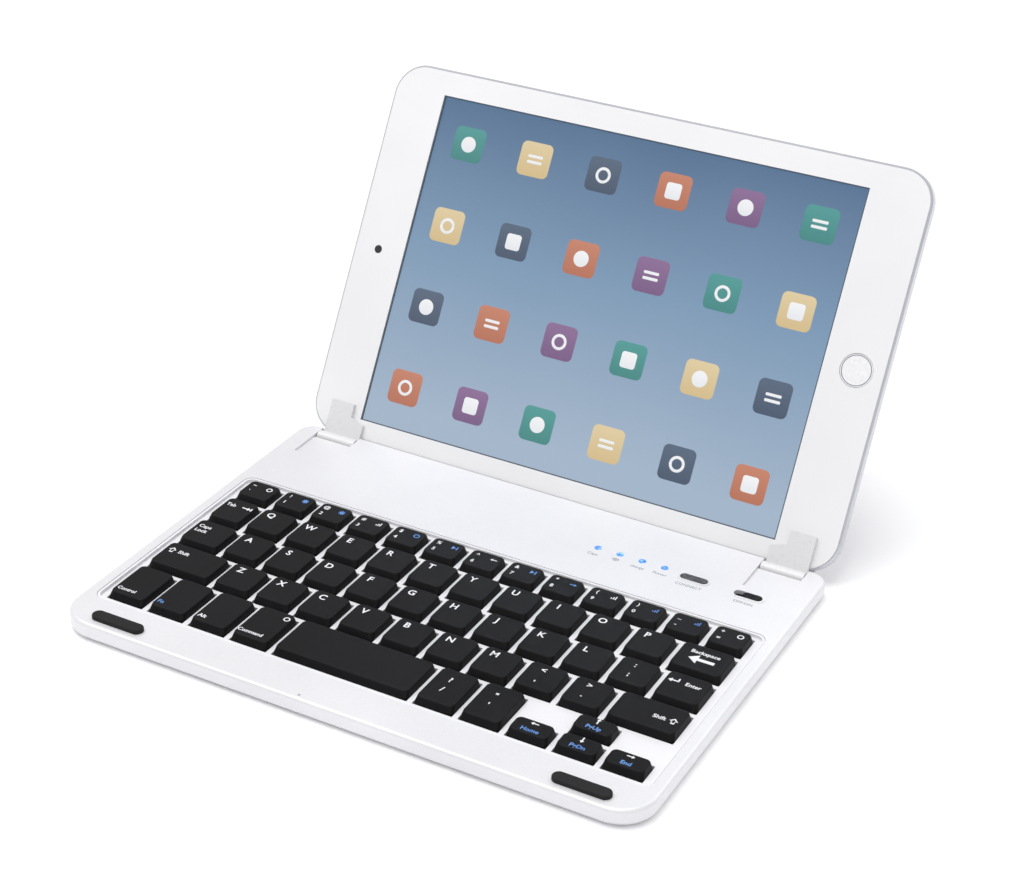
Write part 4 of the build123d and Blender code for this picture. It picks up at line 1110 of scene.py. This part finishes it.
@dataclass
class HomeButtonTrim:
    """The thin printed ring on the home button."""

    ring_mm: float = 5.15
    stroke_mm: float = 0.28

    def build(self, ink: bpy.types.Material, lid: Lid) -> None:
        """Print the ring on the button's face.

        Args:
            ink: grey ink.
            lid: gives the button's plane.
        """
        points = cad_points("tablet_home_button") - np.array(lid.plane.origin)
        out = (points @ np.array(lid.plane.out)).max() / MM
        up = points @ np.array(lid.plane.up)
        across = points @ np.array(lid.plane.right)
        x, y = (across.min() + across.max()) / 2 / MM, (up.min() + up.max()) / 2 / MM
        sheet = PrintSheet("home_button_ring", [ink])
        for start in (0, 180):
            band = band_outline(self.ring_mm - self.stroke_mm, self.ring_mm, start, start + 180, 32)
            sheet.add(plate(band, PRINT_MM), lid.plane.at(x, y, out))
        sheet.make("tablet_home_button", "white_gloss")


# ---------------------------------------------------------------- base deck
@dataclass
class Deck:
    """Words beside the lights and controls on the rear deck."""

    word_mm: float = 1.35
    drop_mm: float = 4.0
    control_drop_mm: float = 0.6
    wave_drop_mm: float = 0.8
    wave_mm: float = 0.3
    switch_word_inset_mm: float = 3.2
    words: tuple[str, ...] = ("Caps", "", "charge", "Power")

    def build(self, ink: bpy.types.Material) -> None:
        """Mark the deck under each light and control.

        Args:
            ink: grey laser mark.
        """
        sheet = PrintSheet("deck_words", [ink])
        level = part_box("light_pipes")[1].z

        def at(x: float, y: float) -> Placement:
            """The deck's plane at a place in metres."""
            return Placement(Vector((x, y, level)), Vector((1, 0, 0)), Vector((0, 1, 0)),
                             Vector((0, 0, 1)))

        lights = sorted(island_boxes("light_pipes"), key=lambda box: box[0][0])
        for (low, high), word in zip(lights, self.words):
            place = at((low[0] + high[0]) / 2, (low[1] + high[1]) / 2)
            if word:
                sheet.add(lettering(word, self.word_mm, PRINT_MM).moved(0, -self.drop_mm), place)
            else:
                for radius in (0.5, 1.1, 1.7):
                    wave = plate(band_outline(radius, radius + self.wave_mm, 45, 135), PRINT_MM)
                    sheet.add(wave.moved(0, -self.drop_mm - self.wave_drop_mm), place)
        for node, word in (("connect_button", "CONNECT"), ("switch_bodies", "OFF/ON")):
            low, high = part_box(node)
            x = high.x - self.switch_word_inset_mm * MM
            if node == "connect_button":
                x = (low.x + high.x) / 2
            drop = self.drop_mm + self.control_drop_mm
            sheet.add(lettering(word, self.word_mm, PRINT_MM).moved(0, -drop),
                      at(x, (low.y + high.y) / 2))
        sheet.make("base", "white_aluminium")


# ---------------------------------------------------------------- dressing the CAD nodes
FINISH_OF_NODE = {
    ALUMINIUM: ["top_cover", "bottom_cover"],
    SILVER: ["tablet_housing"],
    WHITE_ABS: ["key_tray"],
    GREY_ABS: ["left_clip", "right_clip"],
    # switch_bodies take black ABS, not steel, so that the power switch slot shows black: partly the
    # switch housing's own black, partly painted shade deep in the slot.
    BLACK_ABS: [f"key_{c}" for c in LETTERS] + [
        "key_space", "keys_number_row", "keys_symbols", "keys_words", "keys_arrows",
        "power_switch_knob", "switch_bodies"],
    GLOSS_BLACK: ["connect_button"],
    BLACK_RUBBER: ["front_bumpers", "rubber_feet"],
    SILICONE: ["left_clip_pad", "right_clip_pad", "rubber_domes"],
    STEEL: ["support_plate", "hinge_brackets", "charging_inlet"],
    ZINC: ["case_screws", "hinge_pins"],
    FILM: ["switch_membrane"],
    POUCH: ["battery", "tablet_battery"],
    WHITE_LACQUER: ["tablet_home_button"],
    LENS: ["tablet_camera"],
}


def dress(node: str, material: bpy.types.Material) -> None:
    """Give a CAD node its finish.

    Args:
        node: the CAD node.
        material: its material.
    """
    piece = frame["nodes"][node]
    if not piece.data.materials:
        piece.data.materials.append(material)
    for slot in piece.material_slots:
        slot.material = material
    log.info("%s: %s", node, material.name)


# ---------------------------------------------------------------- studio
@dataclass(frozen=True)
class Lamp:
    """One square soft box: its name, where it hangs in metres, its side and its power."""

    name: str
    place: tuple[float, float, float]
    side_m: float
    watts: float

    def hang(self) -> None:
        """Hang the soft box so that it faces the object."""
        data = bpy.data.lights.new(self.name, "AREA")
        data.size, data.energy = self.side_m, self.watts
        made = bpy.data.objects.new(self.name, data)
        made.location = self.place
        made.rotation_euler = Vector(self.place).to_track_quat("Z", "Y").to_euler()
        bpy.context.scene.collection.objects.link(made)


@dataclass
class Studio:
    """White table, soft overhead light and the camera."""

    azimuth: float = 27.2
    elevation: float = 29.2
    roll: float = 1.96
    distance_mm: float = 779.19
    target_mm: tuple[float, float, float] = (-28.02, 56.4, 7.6)
    lens_mm: float = 77.77
    sensor_mm: float = 36.0
    shift: tuple[float, float] = (0.0016, 0.0019)
    near_m: float = 0.01
    floor_m: float = 8.0
    surround: float = 0.66
    lamps: tuple[Lamp, ...] = (
        Lamp("key_light", (-0.7, -0.2, 2.8), 2.4, 54),
        Lamp("fill_light", (1.2, -1.6, 2.0), 2.0, 6),
        Lamp("back_light", (0.6, 2.2, 1.8), 1.8, 12))

    def camera(self) -> None:
        """Stand the camera back from its target along its own axis and roll it."""
        a, e, r = (math.radians(v) for v in (self.azimuth, self.elevation, self.roll))
        back = Vector((math.sin(a) * math.cos(e), -math.cos(a) * math.cos(e), math.sin(e)))
        level = Vector((0, 0, 1)).cross(back).normalized()
        rise = back.cross(level)
        right = level * math.cos(r) + rise * math.sin(r)
        up = rise * math.cos(r) - level * math.sin(r)
        data = bpy.data.cameras.new("camera")
        data.lens, data.sensor_width = self.lens_mm, self.sensor_mm
        data.shift_x, data.shift_y = self.shift
        data.clip_start = self.near_m
        made = bpy.data.objects.new("camera", data)
        place = Matrix((right, up, back)).transposed().to_4x4()
        place.translation = Vector(self.target_mm) * MM + back * self.distance_mm * MM
        made.matrix_world = place
        bpy.context.scene.collection.objects.link(made)
        bpy.context.scene.camera = made

    def floor(self) -> None:
        """Lay a light table under the object: opal acrylic lit a little from below."""
        half = self.floor_m / 2
        points = np.array([(-half, -half, 0), (half, -half, 0), (half, half, 0), (-half, half, 0)])
        opal = Finish("opal_acrylic", "#fdfdfe", "#fafafb", (0.8, 0.9), 2.0, 0.001,
                      specular=0.1, glow=0.04, drift_mm=300)
        made = mesh_object("floor", points, [(0, 1, 2, 3)], [opal.build()])

    def build(self) -> None:
        """Set the even white surround, the lamps, the floor and the camera."""
        world = bpy.data.worlds.new("studio")
        world.use_nodes = True
        background = world.node_tree.nodes["Background"]
        background.inputs["Color"].default_value = linear("#fdfdff")
        background.inputs["Strength"].default_value = self.surround
        bpy.context.scene.world = world
        bpy.context.scene.view_settings.view_transform = "Standard"
        for lamp in self.lamps:
            lamp.hang()
        self.floor()
        self.camera()


def main() -> None:
    """Dress the frame and build every piece in order."""
    for finish, nodes in FINISH_OF_NODE.items():
        material = finish.build()
        for node in nodes:
            dress(node, material)
    dress("circuit_board", SolderMask().build())
    dress("light_pipes", LampResin().build())
    lid = Lid()
    dress("tablet_glass", CoverGlass(lid).build())
    dress("tablet_display", ScreenPicture(lid).build())
    keyboard = Keyboard()
    keyboard.print_legends([WHITE_INK.build(), BLUE_INK.build()])
    keyboard.build_mechanisms(SILICONE.build(), WHITE_ABS.build())
    HomeScreen(lid).build()
    grey = GREY_INK.build()
    HomeButtonTrim().build(grey, lid)
    Deck().build(grey)
    Studio().build()


if __name__ == "__main__":
    logging.basicConfig(level=logging.INFO, format="%(name)s %(message)s")
    main()
